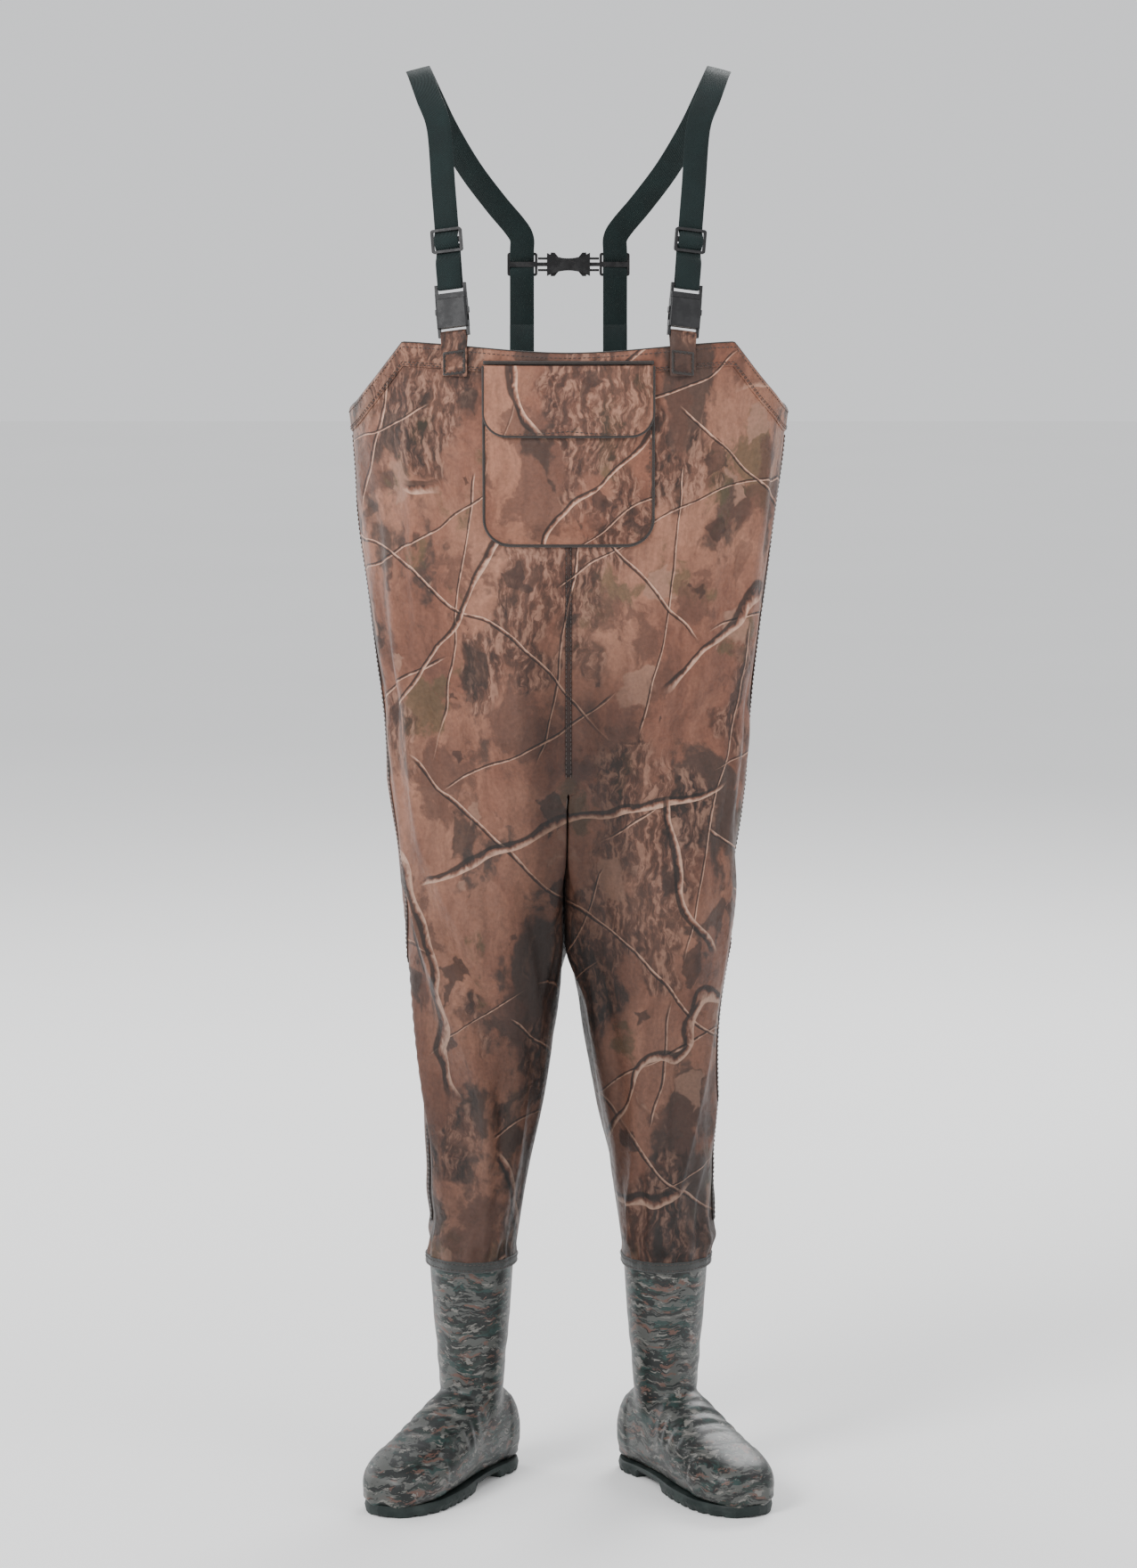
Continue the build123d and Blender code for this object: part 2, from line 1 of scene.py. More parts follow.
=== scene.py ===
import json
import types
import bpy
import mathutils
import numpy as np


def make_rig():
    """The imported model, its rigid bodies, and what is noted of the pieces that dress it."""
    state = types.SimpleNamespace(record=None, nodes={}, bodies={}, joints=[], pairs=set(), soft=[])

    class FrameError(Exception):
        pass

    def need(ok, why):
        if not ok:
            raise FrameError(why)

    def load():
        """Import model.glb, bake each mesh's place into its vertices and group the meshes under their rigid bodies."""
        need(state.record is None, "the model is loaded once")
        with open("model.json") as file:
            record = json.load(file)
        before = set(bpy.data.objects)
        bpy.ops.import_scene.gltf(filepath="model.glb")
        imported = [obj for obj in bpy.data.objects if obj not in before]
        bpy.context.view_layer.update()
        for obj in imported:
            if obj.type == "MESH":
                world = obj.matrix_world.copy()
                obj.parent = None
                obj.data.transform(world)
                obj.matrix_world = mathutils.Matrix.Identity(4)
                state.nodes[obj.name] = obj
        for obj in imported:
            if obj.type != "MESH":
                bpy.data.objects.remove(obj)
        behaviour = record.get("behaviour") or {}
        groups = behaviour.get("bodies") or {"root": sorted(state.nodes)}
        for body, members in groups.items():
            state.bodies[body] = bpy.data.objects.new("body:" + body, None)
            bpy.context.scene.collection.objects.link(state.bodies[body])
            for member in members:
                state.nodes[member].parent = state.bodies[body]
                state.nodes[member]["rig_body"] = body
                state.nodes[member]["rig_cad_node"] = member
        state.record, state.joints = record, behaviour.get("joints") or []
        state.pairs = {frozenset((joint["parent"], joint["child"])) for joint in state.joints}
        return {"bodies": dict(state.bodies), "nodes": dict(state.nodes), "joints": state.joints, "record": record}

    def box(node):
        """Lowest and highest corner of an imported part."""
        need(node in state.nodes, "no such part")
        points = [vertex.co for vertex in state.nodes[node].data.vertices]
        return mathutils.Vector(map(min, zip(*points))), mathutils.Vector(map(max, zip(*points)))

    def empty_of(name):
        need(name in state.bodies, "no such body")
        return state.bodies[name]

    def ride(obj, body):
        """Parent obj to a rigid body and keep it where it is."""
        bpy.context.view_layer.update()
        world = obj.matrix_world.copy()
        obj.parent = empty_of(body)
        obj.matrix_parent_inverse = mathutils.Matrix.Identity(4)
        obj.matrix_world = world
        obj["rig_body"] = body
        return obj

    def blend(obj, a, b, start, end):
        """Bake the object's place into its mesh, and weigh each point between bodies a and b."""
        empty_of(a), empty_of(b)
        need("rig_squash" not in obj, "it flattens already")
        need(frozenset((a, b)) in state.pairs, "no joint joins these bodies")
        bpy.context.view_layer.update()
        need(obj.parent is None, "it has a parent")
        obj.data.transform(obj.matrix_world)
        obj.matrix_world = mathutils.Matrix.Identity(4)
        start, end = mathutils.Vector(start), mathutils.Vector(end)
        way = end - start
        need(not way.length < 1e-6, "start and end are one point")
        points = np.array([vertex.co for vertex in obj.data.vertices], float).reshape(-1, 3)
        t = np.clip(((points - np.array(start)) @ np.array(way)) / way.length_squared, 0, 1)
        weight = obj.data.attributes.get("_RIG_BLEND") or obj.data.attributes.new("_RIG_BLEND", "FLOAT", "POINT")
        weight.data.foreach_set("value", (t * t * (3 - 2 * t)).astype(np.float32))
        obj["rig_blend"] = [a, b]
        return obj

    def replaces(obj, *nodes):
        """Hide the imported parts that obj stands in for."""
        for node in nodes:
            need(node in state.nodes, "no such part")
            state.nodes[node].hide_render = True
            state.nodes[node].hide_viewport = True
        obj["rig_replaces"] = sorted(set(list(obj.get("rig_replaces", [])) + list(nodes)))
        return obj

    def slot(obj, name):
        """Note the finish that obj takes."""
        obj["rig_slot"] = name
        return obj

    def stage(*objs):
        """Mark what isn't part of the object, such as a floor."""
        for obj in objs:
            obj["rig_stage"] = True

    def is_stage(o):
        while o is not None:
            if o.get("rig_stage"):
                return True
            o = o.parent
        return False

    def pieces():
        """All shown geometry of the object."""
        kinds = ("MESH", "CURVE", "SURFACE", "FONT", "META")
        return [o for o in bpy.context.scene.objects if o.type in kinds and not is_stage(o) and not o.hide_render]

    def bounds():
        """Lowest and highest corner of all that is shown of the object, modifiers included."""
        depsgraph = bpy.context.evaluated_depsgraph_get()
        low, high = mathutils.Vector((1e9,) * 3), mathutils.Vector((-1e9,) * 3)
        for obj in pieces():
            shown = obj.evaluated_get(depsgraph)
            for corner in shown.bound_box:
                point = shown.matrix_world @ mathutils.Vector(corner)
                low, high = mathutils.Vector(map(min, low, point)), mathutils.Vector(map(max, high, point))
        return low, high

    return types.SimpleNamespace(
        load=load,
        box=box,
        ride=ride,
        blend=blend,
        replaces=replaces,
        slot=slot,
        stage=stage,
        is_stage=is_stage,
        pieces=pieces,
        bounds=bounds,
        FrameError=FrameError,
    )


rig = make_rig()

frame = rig.load()

import json
import math
import bmesh
import bpy
from mathutils import Matrix, Vector, noise
from mathutils.bvhtree import BVHTree

cadLow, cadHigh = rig.bounds()
print("frame loaded")


# small helpers
def mix(a, b, share):
    return a + (b - a) * share


def smooth(low, high, value):
    share = min(max((value - low) / (high - low), 0.0), 1.0)
    return share * share * (3 - 2 * share)


def bump(value, middle, width):
    return math.exp(-((value - middle) / width) ** 2)


def rowsAt(rows, height, column):
    # rows run from low to high; a smooth curve passes through all of them
    if height <= rows[0][0]:
        return rows[0][column]
    if height >= rows[-1][0]:
        return rows[-1][column]
    for k in range(len(rows) - 1):
        low, high = rows[k], rows[k + 1]
        if height <= high[0]:
            t = (height - low[0]) / (high[0] - low[0])
            before, after = rows[max(k - 1, 0)], rows[min(k + 2, len(rows) - 1)]
            span = high[0] - low[0]
            slopeLow = (high[column] - before[column]) / (high[0] - before[0]) * span
            slopeHigh = (after[column] - low[column]) / (after[0] - low[0]) * span
            a, b = low[column], high[column]
            return (
                a * (2 * t**3 - 3 * t**2 + 1) + slopeLow * (t**3 - 2 * t**2 + t)
                + b * (-2 * t**3 + 3 * t**2) + slopeHigh * (t**3 - t**2)
            )


def signedPower(value, power):
    return math.copysign(abs(value) ** power, value)


def newMesh(name, points, faces, materials, faceMaterials=None, shadeSmooth=True):
    mesh = bpy.data.meshes.new(name)
    mesh.from_pydata([tuple(p) for p in points], [], faces)
    mesh.update()
    piece = bpy.data.objects.new(name, mesh)
    bpy.context.collection.objects.link(piece)
    for material in materials:
        mesh.materials.append(material)
    if faceMaterials:
        mesh.polygons.foreach_set("material_index", faceMaterials)
    mesh.polygons.foreach_set("use_smooth", [shadeSmooth] * len(mesh.polygons))
    return piece


def applyModifiers(piece):
    graph = bpy.context.evaluated_depsgraph_get()
    done = bpy.data.meshes.new_from_object(piece.evaluated_get(graph))
    piece.modifiers.clear()
    piece.data = done
    return piece


def gridFaces(rows, columns, closed, start=0):
    faces = []
    for r in range(rows - 1):
        for c in range(columns if closed else columns - 1):
            d = (c + 1) % columns
            a = start + r * columns
            faces.append((a + c, a + d, a + columns + d, a + columns + c))
    return faces


def thicken(piece, thickness, offset=-1.0, innerSlot=0):
    solid = piece.modifiers.new("thickness", "SOLIDIFY")
    solid.thickness = thickness
    solid.offset = offset
    solid.material_offset = innerSlot
    return applyModifiers(piece)


def finishPiece(piece, body, slotName, nodes=()):
    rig.ride(piece, body)
    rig.slot(piece, slotName)
    if nodes:
        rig.replaces(piece, *nodes)
    return piece


# shader helpers
def add(tree, kind, feeds=None, **settings):
    n = tree.nodes.new(kind)
    for key, value in settings.items():
        setattr(n, key, value)
    for key, value in (feeds or {}).items():
        socket = n.inputs[key]
        if isinstance(value, bpy.types.NodeSocket):
            tree.links.new(value, socket)
        else:
            socket.default_value = value
    return n


def ramp(tree, fac, stops, interpolation="LINEAR"):
    n = add(tree, "ShaderNodeValToRGB", {"Fac": fac})
    n.color_ramp.interpolation = interpolation
    while len(n.color_ramp.elements) < len(stops):
        n.color_ramp.elements.new(0.5)
    for element, (place, color) in zip(n.color_ramp.elements, stops):
        element.position = place
        element.color = (*color, 1) if len(color) == 3 else color
    return n.outputs["Color"]


def mask(tree, fac, low, high):
    n = add(tree, "ShaderNodeMapRange", {"Value": fac, "From Min": low, "From Max": high})
    n.interpolation_type = "SMOOTHSTEP"
    return n.outputs["Result"]


def calc(tree, operation, a, b=0.0):
    return add(tree, "ShaderNodeMath", {0: a, 1: b}, operation=operation).outputs[0]


def blendColor(tree, fac, a, b, how="MIX"):
    n = add(tree, "ShaderNodeMix", data_type="RGBA", blend_type=how)
    for key, value in ((0, fac), (6, a), (7, b)):
        if isinstance(value, bpy.types.NodeSocket):
            tree.links.new(value, n.inputs[key])
        elif key:
            n.inputs[key].default_value = (*value, 1)
        else:
            n.inputs[key].default_value = value
    return n.outputs[2]


def stretch(tree, vector, scale, move=(0, 0, 0), turn=(0, 0, 0)):
    n = add(tree, "ShaderNodeMapping", {"Vector": vector})
    n.inputs["Scale"].default_value = scale
    n.inputs["Location"].default_value = move
    n.inputs["Rotation"].default_value = turn
    return n.outputs[0]


def noiseAt(tree, vector, scale, detail=3.0, rough=0.5, out="Fac"):
    feeds = {"Vector": vector, "Scale": scale, "Detail": detail, "Roughness": rough}
    return add(tree, "ShaderNodeTexNoise", feeds).outputs[out]


def group(name, inputs, outputs):
    tree = bpy.data.node_groups.new(name, "ShaderNodeTree")
    for label, kind, value in inputs:
        socket = tree.interface.new_socket(label, in_out="INPUT", socket_type=kind)
        if value is not None:
            socket.default_value = value
    for label, kind in outputs:
        tree.interface.new_socket(label, in_out="OUTPUT", socket_type=kind)
    return tree, tree.nodes.new("NodeGroupInput").outputs, tree.nodes.new("NodeGroupOutput").inputs


# woodland print: bark tones, blotches, leaves, and branches with a pale top and a dark underside
camoLook = {
    "soil": (0.030, 0.014, 0.010), "bark": (0.078, 0.034, 0.023), "copper": (0.175, 0.071, 0.045),
    "tan": (0.315, 0.150, 0.098), "slate": (0.024, 0.018, 0.015), "moss": (0.062, 0.050, 0.022),
    "branch": (0.50, 0.31, 0.225), "shade": (0.008, 0.005, 0.004), "leafDark": (0.026, 0.015, 0.011),
    "leafPale": (0.27, 0.145, 0.100),
    # direction of each family of branches, spacing, half width, bend, how much of it shows
    "branches": [
        ((0.94, 0.25, 0.34), 0.330, 0.0046, 0.20, 0.49), ((0.30, 0.25, -0.93), 0.420, 0.0050, 0.16, 0.50),
        ((0.80, -0.30, -0.58), 0.230, 0.0028, 0.22, 0.48), ((0.66, 0.20, 0.74), 0.160, 0.0015, 0.20, 0.47),
        ((0.50, -0.15, -0.86), 0.130, 0.0012, 0.24, 0.48), ((0.97, 0.10, -0.18), 0.110, 0.0011, 0.26, 0.49),
    ],
}


def branchFamily(tree, place, bent, number, family, color):
    look = camoLook
    direction, spacing, half, bend, share = family
    across = add(tree, "ShaderNodeVectorMath", {0: place, 1: direction},
                 operation="DOT_PRODUCT").outputs["Value"]
    drift = noiseAt(tree, stretch(tree, place, (1, 1, 1), (number * 3.7, number * 1.3, 2.0)), 3.2, 3.0, 0.5)
    across = calc(tree, "ADD", calc(tree, "DIVIDE", across, spacing),
                  calc(tree, "MULTIPLY", drift, bend * 3.4))
    offset = calc(tree, "SUBTRACT", calc(tree, "FRACT", across), 0.5)
    offset = calc(tree, "MULTIPLY", offset, spacing)
    knots = noiseAt(tree, stretch(tree, bent, (1, 1, 1), (number, 0, 0)), 30.0, 2.0)
    reach = calc(tree, "MULTIPLY", half, calc(tree, "ADD", 0.45, knots))
    near = calc(tree, "DIVIDE", offset, reach)
    line = calc(tree, "SUBTRACT", 1.0, mask(tree, calc(tree, "ABSOLUTE", near), 0.82, 1.0))
    under = calc(tree, "SUBTRACT", 1.0,
                 mask(tree, calc(tree, "ABSOLUTE", calc(tree, "ADD", near, 0.85)), 0.75, 1.3))
    keep = noiseAt(tree, stretch(tree, place, (1, 1, 1), (0.3, number * 2.1, number)), 3.6, 1.5)
    keep = mask(tree, keep, share, share + 0.03)
    color = blendColor(tree, calc(tree, "MULTIPLY", calc(tree, "MULTIPLY", under, keep), 0.85), color,
                       look["shade"])
    grain = noiseAt(tree, stretch(tree, bent, (1, 1, 0.5), (number, 1, 0)), 120.0, 3.0)
    round_ = calc(tree, "ADD", calc(tree, "MULTIPLY", near, 0.32), calc(tree, "MULTIPLY", grain, 1.0))
    tint = ramp(tree, round_, [(0.22, look["soil"]), (0.40, look["copper"]), (0.66, look["branch"])])
    return blendColor(tree, calc(tree, "MULTIPLY", calc(tree, "MULTIPLY", line, keep), 0.92), color, tint)


def makeCamoGroup():
    look = camoLook
    tree, given, out = group("woodlandPrint",
                             [("Vector", "NodeSocketVector", None), ("Size", "NodeSocketFloat", 1.0)],
                             [("Color", "NodeSocketColor"), ("Relief", "NodeSocketFloat")])
    place = add(tree, "ShaderNodeVectorMath", {0: given["Vector"], 3: given["Size"]},
                operation="SCALE").outputs[0]
    wobble = noiseAt(tree, place, 11.0, 4.0, 0.6, "Color")
    wobble = add(tree, "ShaderNodeVectorMath", {0: wobble, 1: (0.5, 0.5, 0.5)},
                 operation="SUBTRACT").outputs[0]
    wobble = add(tree, "ShaderNodeVectorMath", {0: wobble, 3: 0.060}, operation="SCALE").outputs[0]
    bent = add(tree, "ShaderNodeVectorMath", {0: place, 1: wobble}, operation="ADD").outputs[0]
    ground = noiseAt(tree, stretch(tree, bent, (1.15, 1.15, 0.75)), 6.5, 6.0, 0.58)
    color = ramp(tree, ground, [(0.27, look["bark"]), (0.43, look["copper"]), (0.66, look["tan"])])
    streak = noiseAt(tree, stretch(tree, bent, (1.0, 1.0, 0.10), (0, 0, 0), (0.2, 0.35, 0)), 70.0, 5.0, 0.7)
    color = blendColor(tree, 0.62, color,
                       ramp(tree, streak, [(0.33, (0.48, 0.45, 0.43)),
                                           (0.62, (1.14, 1.12, 1.10))]), "MULTIPLY")
    # broad patches: grey-brown shadow and moss
    for tone, move, scale, low, strength in (("slate", (3.1, 1.7, 0.4), 6.0, 0.525, 0.78),
                                             ("moss", (7.7, 2.3, 5.4), 8.5, 0.56, 0.65),
                                             ("bark", (1.4, 8.3, 2.2), 10.0, 0.54, 0.70)):
        patch = noiseAt(tree, stretch(tree, bent, (1, 1, 0.75), move), scale, 6.0, 0.62)
        color = blendColor(tree, calc(tree, "MULTIPLY", mask(tree, patch, low, low + 0.05), strength), color,
                           look[tone])
    # torn bark in patches
    torn = noiseAt(tree, stretch(tree, bent, (1.0, 1.0, 0.22), (0, 0, 0), (0.3, 0.55, 0.1)), 150.0, 3.0, 0.6)
    rough = ramp(tree, torn, [(0.40, look["shade"]), (0.50, look["bark"]), (0.62, look["leafPale"])])
    where = noiseAt(tree, stretch(tree, bent, (1, 1, 0.6), (5.2, 3.9, 1.1)), 6.0, 4.0, 0.55)
    color = blendColor(tree, calc(tree, "MULTIPLY", mask(tree, where, 0.53, 0.57), 0.70), color, rough)
    # leaves in three tones, with lobed outlines
    for number, (scale, turn, tone, limit) in enumerate(
        ((10.5, 0.5, "leafDark", 0.45), (15.0, -0.7, "leafPale", 0.55), (19.0, 1.2, "soil", 0.55))
    ):
        cloth = stretch(tree, bent, (1.0, 1.0, 0.66), (number * 2.3, 1.1, 0.7), (0.2, turn, 0.3))
        cell = add(tree, "ShaderNodeTexVoronoi",
                   {"Vector": cloth, "Scale": scale, "Exponent": 0.80, "Randomness": 0.95},
                   distance="MINKOWSKI")
        ragged = noiseAt(tree, place, scale * 5, 3.0, 0.6)
        far = calc(tree, "ADD", cell.outputs["Distance"],
                   calc(tree, "MULTIPLY", calc(tree, "SUBTRACT", ragged, 0.5), 0.30))
        shape = calc(tree, "SUBTRACT", 1.0, mask(tree, far, 0.44, 0.53))
        chosen = add(tree, "ShaderNodeSeparateColor", {"Color": cell.outputs["Color"]}).outputs[0]
        shape = calc(tree, "MULTIPLY", shape, mask(tree, chosen, limit, limit + 0.02))
        color = blendColor(tree, calc(tree, "MULTIPLY", shape, 0.74), color, look[tone])
    for number, family in reversed(list(enumerate(look["branches"]))):
        color = branchFamily(tree, place, bent, number, family, color)
    fleck = noiseAt(tree, place, 260.0, 2.0)
    color = blendColor(tree, 0.5, color,
                       ramp(tree, fleck, [(0.3, (0.72, 0.72, 0.72)), (0.7, (1.2, 1.2, 1.2))]), "MULTIPLY")
    tree.links.new(color, out["Color"])
    tree.links.new(ground, out["Relief"])
    return tree


def makeWeaveGroup():
    # plain weave: two sets of fine threads that cross, with a little unevenness
    tree, given, out = group("plainWeave",
                             [("Vector", "NodeSocketVector", None), ("Threads", "NodeSocketFloat", 900.0)],
                             [("Height", "NodeSocketFloat")])
    total = None
    for turn in ((0, 0, 0), (0, math.pi / 2, 0)):
        cloth = stretch(tree, given["Vector"], (1, 1, 1), (0, 0, 0), turn)
        wave = add(tree, "ShaderNodeTexWave", {"Vector": cloth, "Scale": given["Threads"], "Distortion": 0.6,
                   "Detail": 1.0}, wave_type="BANDS", bands_direction="X").outputs["Fac"]
        total = wave if total is None else calc(tree, "MULTIPLY", total, wave)
    tree.links.new(total, out["Height"])
    return tree


def makeCreaseGroup():
    # soft handling creases that every flexible skin shows
    tree, given, out = group("softCrease",
                             [("Vector", "NodeSocketVector", None), ("Scale", "NodeSocketFloat", 18.0)],
                             [("Height", "NodeSocketFloat"), ("Rub", "NodeSocketFloat")])
    broad = noiseAt(tree, stretch(tree, given["Vector"], (1, 1, 0.55)), given["Scale"], 3.0, 0.55)
    fold = calc(tree, "ABSOLUTE", calc(tree, "SUBTRACT", broad, 0.5))
    fine = noiseAt(tree, given["Vector"], calc(tree, "MULTIPLY", given["Scale"], 9.0), 2.0)
    tree.links.new(calc(tree, "ADD", fold, calc(tree, "MULTIPLY", fine, 0.12)), out["Height"])
    tree.links.new(mask(tree, fine, 0.45, 0.75), out["Rub"])
    return tree


def makeGrainGroup():
    tree, given, out = group("mouldedGrain",
                             [("Vector", "NodeSocketVector", None), ("Scale", "NodeSocketFloat", 900.0)],
                             [("Height", "NodeSocketFloat"), ("Wear", "NodeSocketFloat")])
    fine = noiseAt(tree, given["Vector"], given["Scale"], 3.0, 0.6)
    broad = noiseAt(tree, given["Vector"], calc(tree, "MULTIPLY", given["Scale"], 0.06), 4.0, 0.6)
    tree.links.new(fine, out["Height"])
    tree.links.new(mask(tree, broad, 0.42, 0.68), out["Wear"])
    return tree


camoGroup, weaveGroup = makeCamoGroup(), makeWeaveGroup()
creaseGroup, grainGroup = makeCreaseGroup(), makeGrainGroup()


def startMaterial(name, roughness, color=(0.5, 0.5, 0.5)):
    material = bpy.data.materials.new(name)
    material.use_nodes = True
    tree = material.node_tree
    shader = tree.nodes["Principled BSDF"]
    shader.inputs["Roughness"].default_value = roughness
    shader.inputs["Base Color"].default_value = (*color, 1)
    where = add(tree, "ShaderNodeTexCoord").outputs["Object"]
    return material, tree, shader, where


def useGroup(tree, inner, feeds):
    n = add(tree, "ShaderNodeGroup", node_tree=inner)
    for key, value in feeds.items():
        if isinstance(value, bpy.types.NodeSocket):
            tree.links.new(value, n.inputs[key])
        else:
            n.inputs[key].default_value = value
    return n.outputs


def bumpInto(tree, shader, height, distance, strength=1.0, before=None):
    feeds = {"Height": height, "Distance": distance, "Strength": strength}
    if before is not None:
        feeds["Normal"] = before
    normal = add(tree, "ShaderNodeBump", feeds).outputs[0]
    tree.links.new(normal, shader.inputs["Normal"])
    return normal


# the middle darkening is painted shade where the legs meet
clothLook = {"roughness": 0.52, "weaveThreads": 900.0, "creaseDepth": 0.006, "sheen": 0.03,
             "lowDarkening": 0.44, "middlePaintedShade": 0.9}


def makeCamoCloth(name, tint=(1, 1, 1), size=1.0):
    material, tree, shader, where = startMaterial(name, clothLook["roughness"])
    print_ = useGroup(tree, camoGroup, {"Vector": where, "Size": size})
    crease = useGroup(tree, creaseGroup, {"Vector": where, "Scale": 16.0})
    height = add(tree, "ShaderNodeSeparateXYZ", {"Vector": where}).outputs["Z"]
    low = clothLook["lowDarkening"]
    # the print is darker towards the bottom of the legs and a little lighter at the top
    depth = ramp(tree, mask(tree, height, 0.25, 1.25), [(0.0, (low, low, low)), (1.0, (1.12, 1.1, 1.08))])
    color = blendColor(tree, 1.0, print_["Color"], depth, "MULTIPLY")
    color = blendColor(tree, 1.0, color, tint, "MULTIPLY")
    # painted shade where the legs meet, standing in for shade and a darker print there: the colour is darkest down the
    # middle, from below the pocket to the knees
    aside = calc(tree, "ABSOLUTE", add(tree, "ShaderNodeSeparateXYZ", {"Vector": where}).outputs["X"])
    uneven = calc(tree, "MULTIPLY", noiseAt(tree, stretch(tree, where, (1, 1, 0.4)), 14.0, 3.0), 0.13)
    middle = calc(tree, "SUBTRACT", 1.0, mask(tree, calc(tree, "SUBTRACT", aside, uneven), -0.045, 0.035))
    middle = calc(tree, "MULTIPLY", middle, calc(tree, "SUBTRACT", 1.0, mask(tree, height, 0.88, 1.10)))
    middle = calc(tree, "MULTIPLY", middle, clothLook["middlePaintedShade"])
    color = blendColor(tree, middle, color, (0.25, 0.22, 0.20), "MULTIPLY")
    tree.links.new(color, shader.inputs["Base Color"])
    rough = add(tree, "ShaderNodeMapRange",
                {"Value": crease["Rub"], "To Min": 0.44, "To Max": 0.62}).outputs[0]
    tree.links.new(rough, shader.inputs["Roughness"])
    shader.inputs["Sheen Weight"].default_value = clothLook["sheen"]
    shader.inputs["Sheen Roughness"].default_value = 0.4
    shader.inputs["Specular IOR Level"].default_value = 0.32
    weave = useGroup(tree, weaveGroup, {"Vector": where, "Threads": clothLook["weaveThreads"]})
    fine = bumpInto(tree, shader, weave["Height"], 0.0002, 0.5)
    bumpInto(tree, shader, crease["Height"], clothLook["creaseDepth"], 0.8, fine)
    return material


def makeCoating():
    material, tree, shader, where = startMaterial("paleCoating", 0.42)
    crease = useGroup(tree, creaseGroup, {"Vector": where, "Scale": 14.0})
    color = ramp(tree, crease["Rub"], [(0.0, (0.78, 0.74, 0.69)), (1.0, (0.86, 0.83, 0.79))])
    tree.links.new(color, shader.inputs["Base Color"])
    bumpInto(tree, shader, crease["Height"], 0.004, 0.6)
    return material


webLook = {"dark": (0.002, 0.007, 0.007), "light": (0.010, 0.028, 0.027), "ribs": 340.0}


def makeWebbing():
    material, tree, shader, where = startMaterial("wovenWebbing", 0.72)
    ribs = add(tree, "ShaderNodeTexWave",
               {"Vector": where, "Scale": webLook["ribs"], "Distortion": 1.2, "Detail": 2.0,
               "Detail Scale": 2.0}, wave_type="BANDS", bands_direction="Z").outputs["Fac"]
    cross = add(tree, "ShaderNodeTexWave",
                {"Vector": where, "Scale": webLook["ribs"] * 0.8, "Distortion": 0.5},
                wave_type="BANDS", bands_direction="DIAGONAL").outputs["Fac"]
    weave = calc(tree, "MULTIPLY", ribs, cross)
    worn = noiseAt(tree, where, 40.0, 4.0)
    # painted shade: the webbing is dark in the grooves between its ribs and light on the ribs, from the same weave
    # that raises the bump, then made uneven by a noise
    color = ramp(tree, weave, [(0.1, webLook["dark"]), (0.8, webLook["light"])])
    color = blendColor(tree, 0.6, color, ramp(tree, worn, [(0.35, (0.7, 0.7, 0.7)), (0.7, (1.3, 1.3, 1.3))]),
                       "MULTIPLY")
    tree.links.new(color, shader.inputs["Base Color"])
    shader.inputs["Sheen Weight"].default_value = 0.06
    shader.inputs["Specular IOR Level"].default_value = 0.25
    bumpInto(tree, shader, weave, 0.0006, 0.7)
    return material


def makePlastic(name, dark, light, roughness, grain=1400.0):
    material, tree, shader, where = startMaterial(name, roughness)
    skin = useGroup(tree, grainGroup, {"Vector": where, "Scale": grain})
    tree.links.new(blendColor(tree, skin["Wear"], dark, light), shader.inputs["Base Color"])
    rough = add(tree, "ShaderNodeMapRange",
                {"Value": skin["Wear"], "To Min": roughness - 0.08, "To Max": roughness + 0.1})
    tree.links.new(rough.outputs[0], shader.inputs["Roughness"])
    shader.inputs["Specular IOR Level"].default_value = 0.3
    bumpInto(tree, shader, skin["Height"], 0.0003, 0.35)
    return material


def makeFabric(name, dark, light, threads, roughness=0.8, sheen=0.2):
    material, tree, shader, where = startMaterial(name, roughness)
    weave = useGroup(tree, weaveGroup, {"Vector": where, "Threads": threads})
    worn = noiseAt(tree, where, 55.0, 4.0)
    # painted shade between the threads: the colour is dark where the weave is low and light where it is high, made
    # uneven by the worn noise
    share = calc(tree, "MULTIPLY", weave["Height"], worn)
    tree.links.new(ramp(tree, share, [(0.05, dark), (0.45, light)]), shader.inputs["Base Color"])
    shader.inputs["Sheen Weight"].default_value = sheen
    bumpInto(tree, shader, weave["Height"], 0.0004, 0.7)
    return material


bootLook = {
    "grey": (0.064, 0.066, 0.061), "green": (0.010, 0.018, 0.015), "black": (0.004, 0.005, 0.005),
    "clay": (0.095, 0.048, 0.036), "teal": (0.012, 0.030, 0.027), "pale": (0.145, 0.138, 0.125),
}


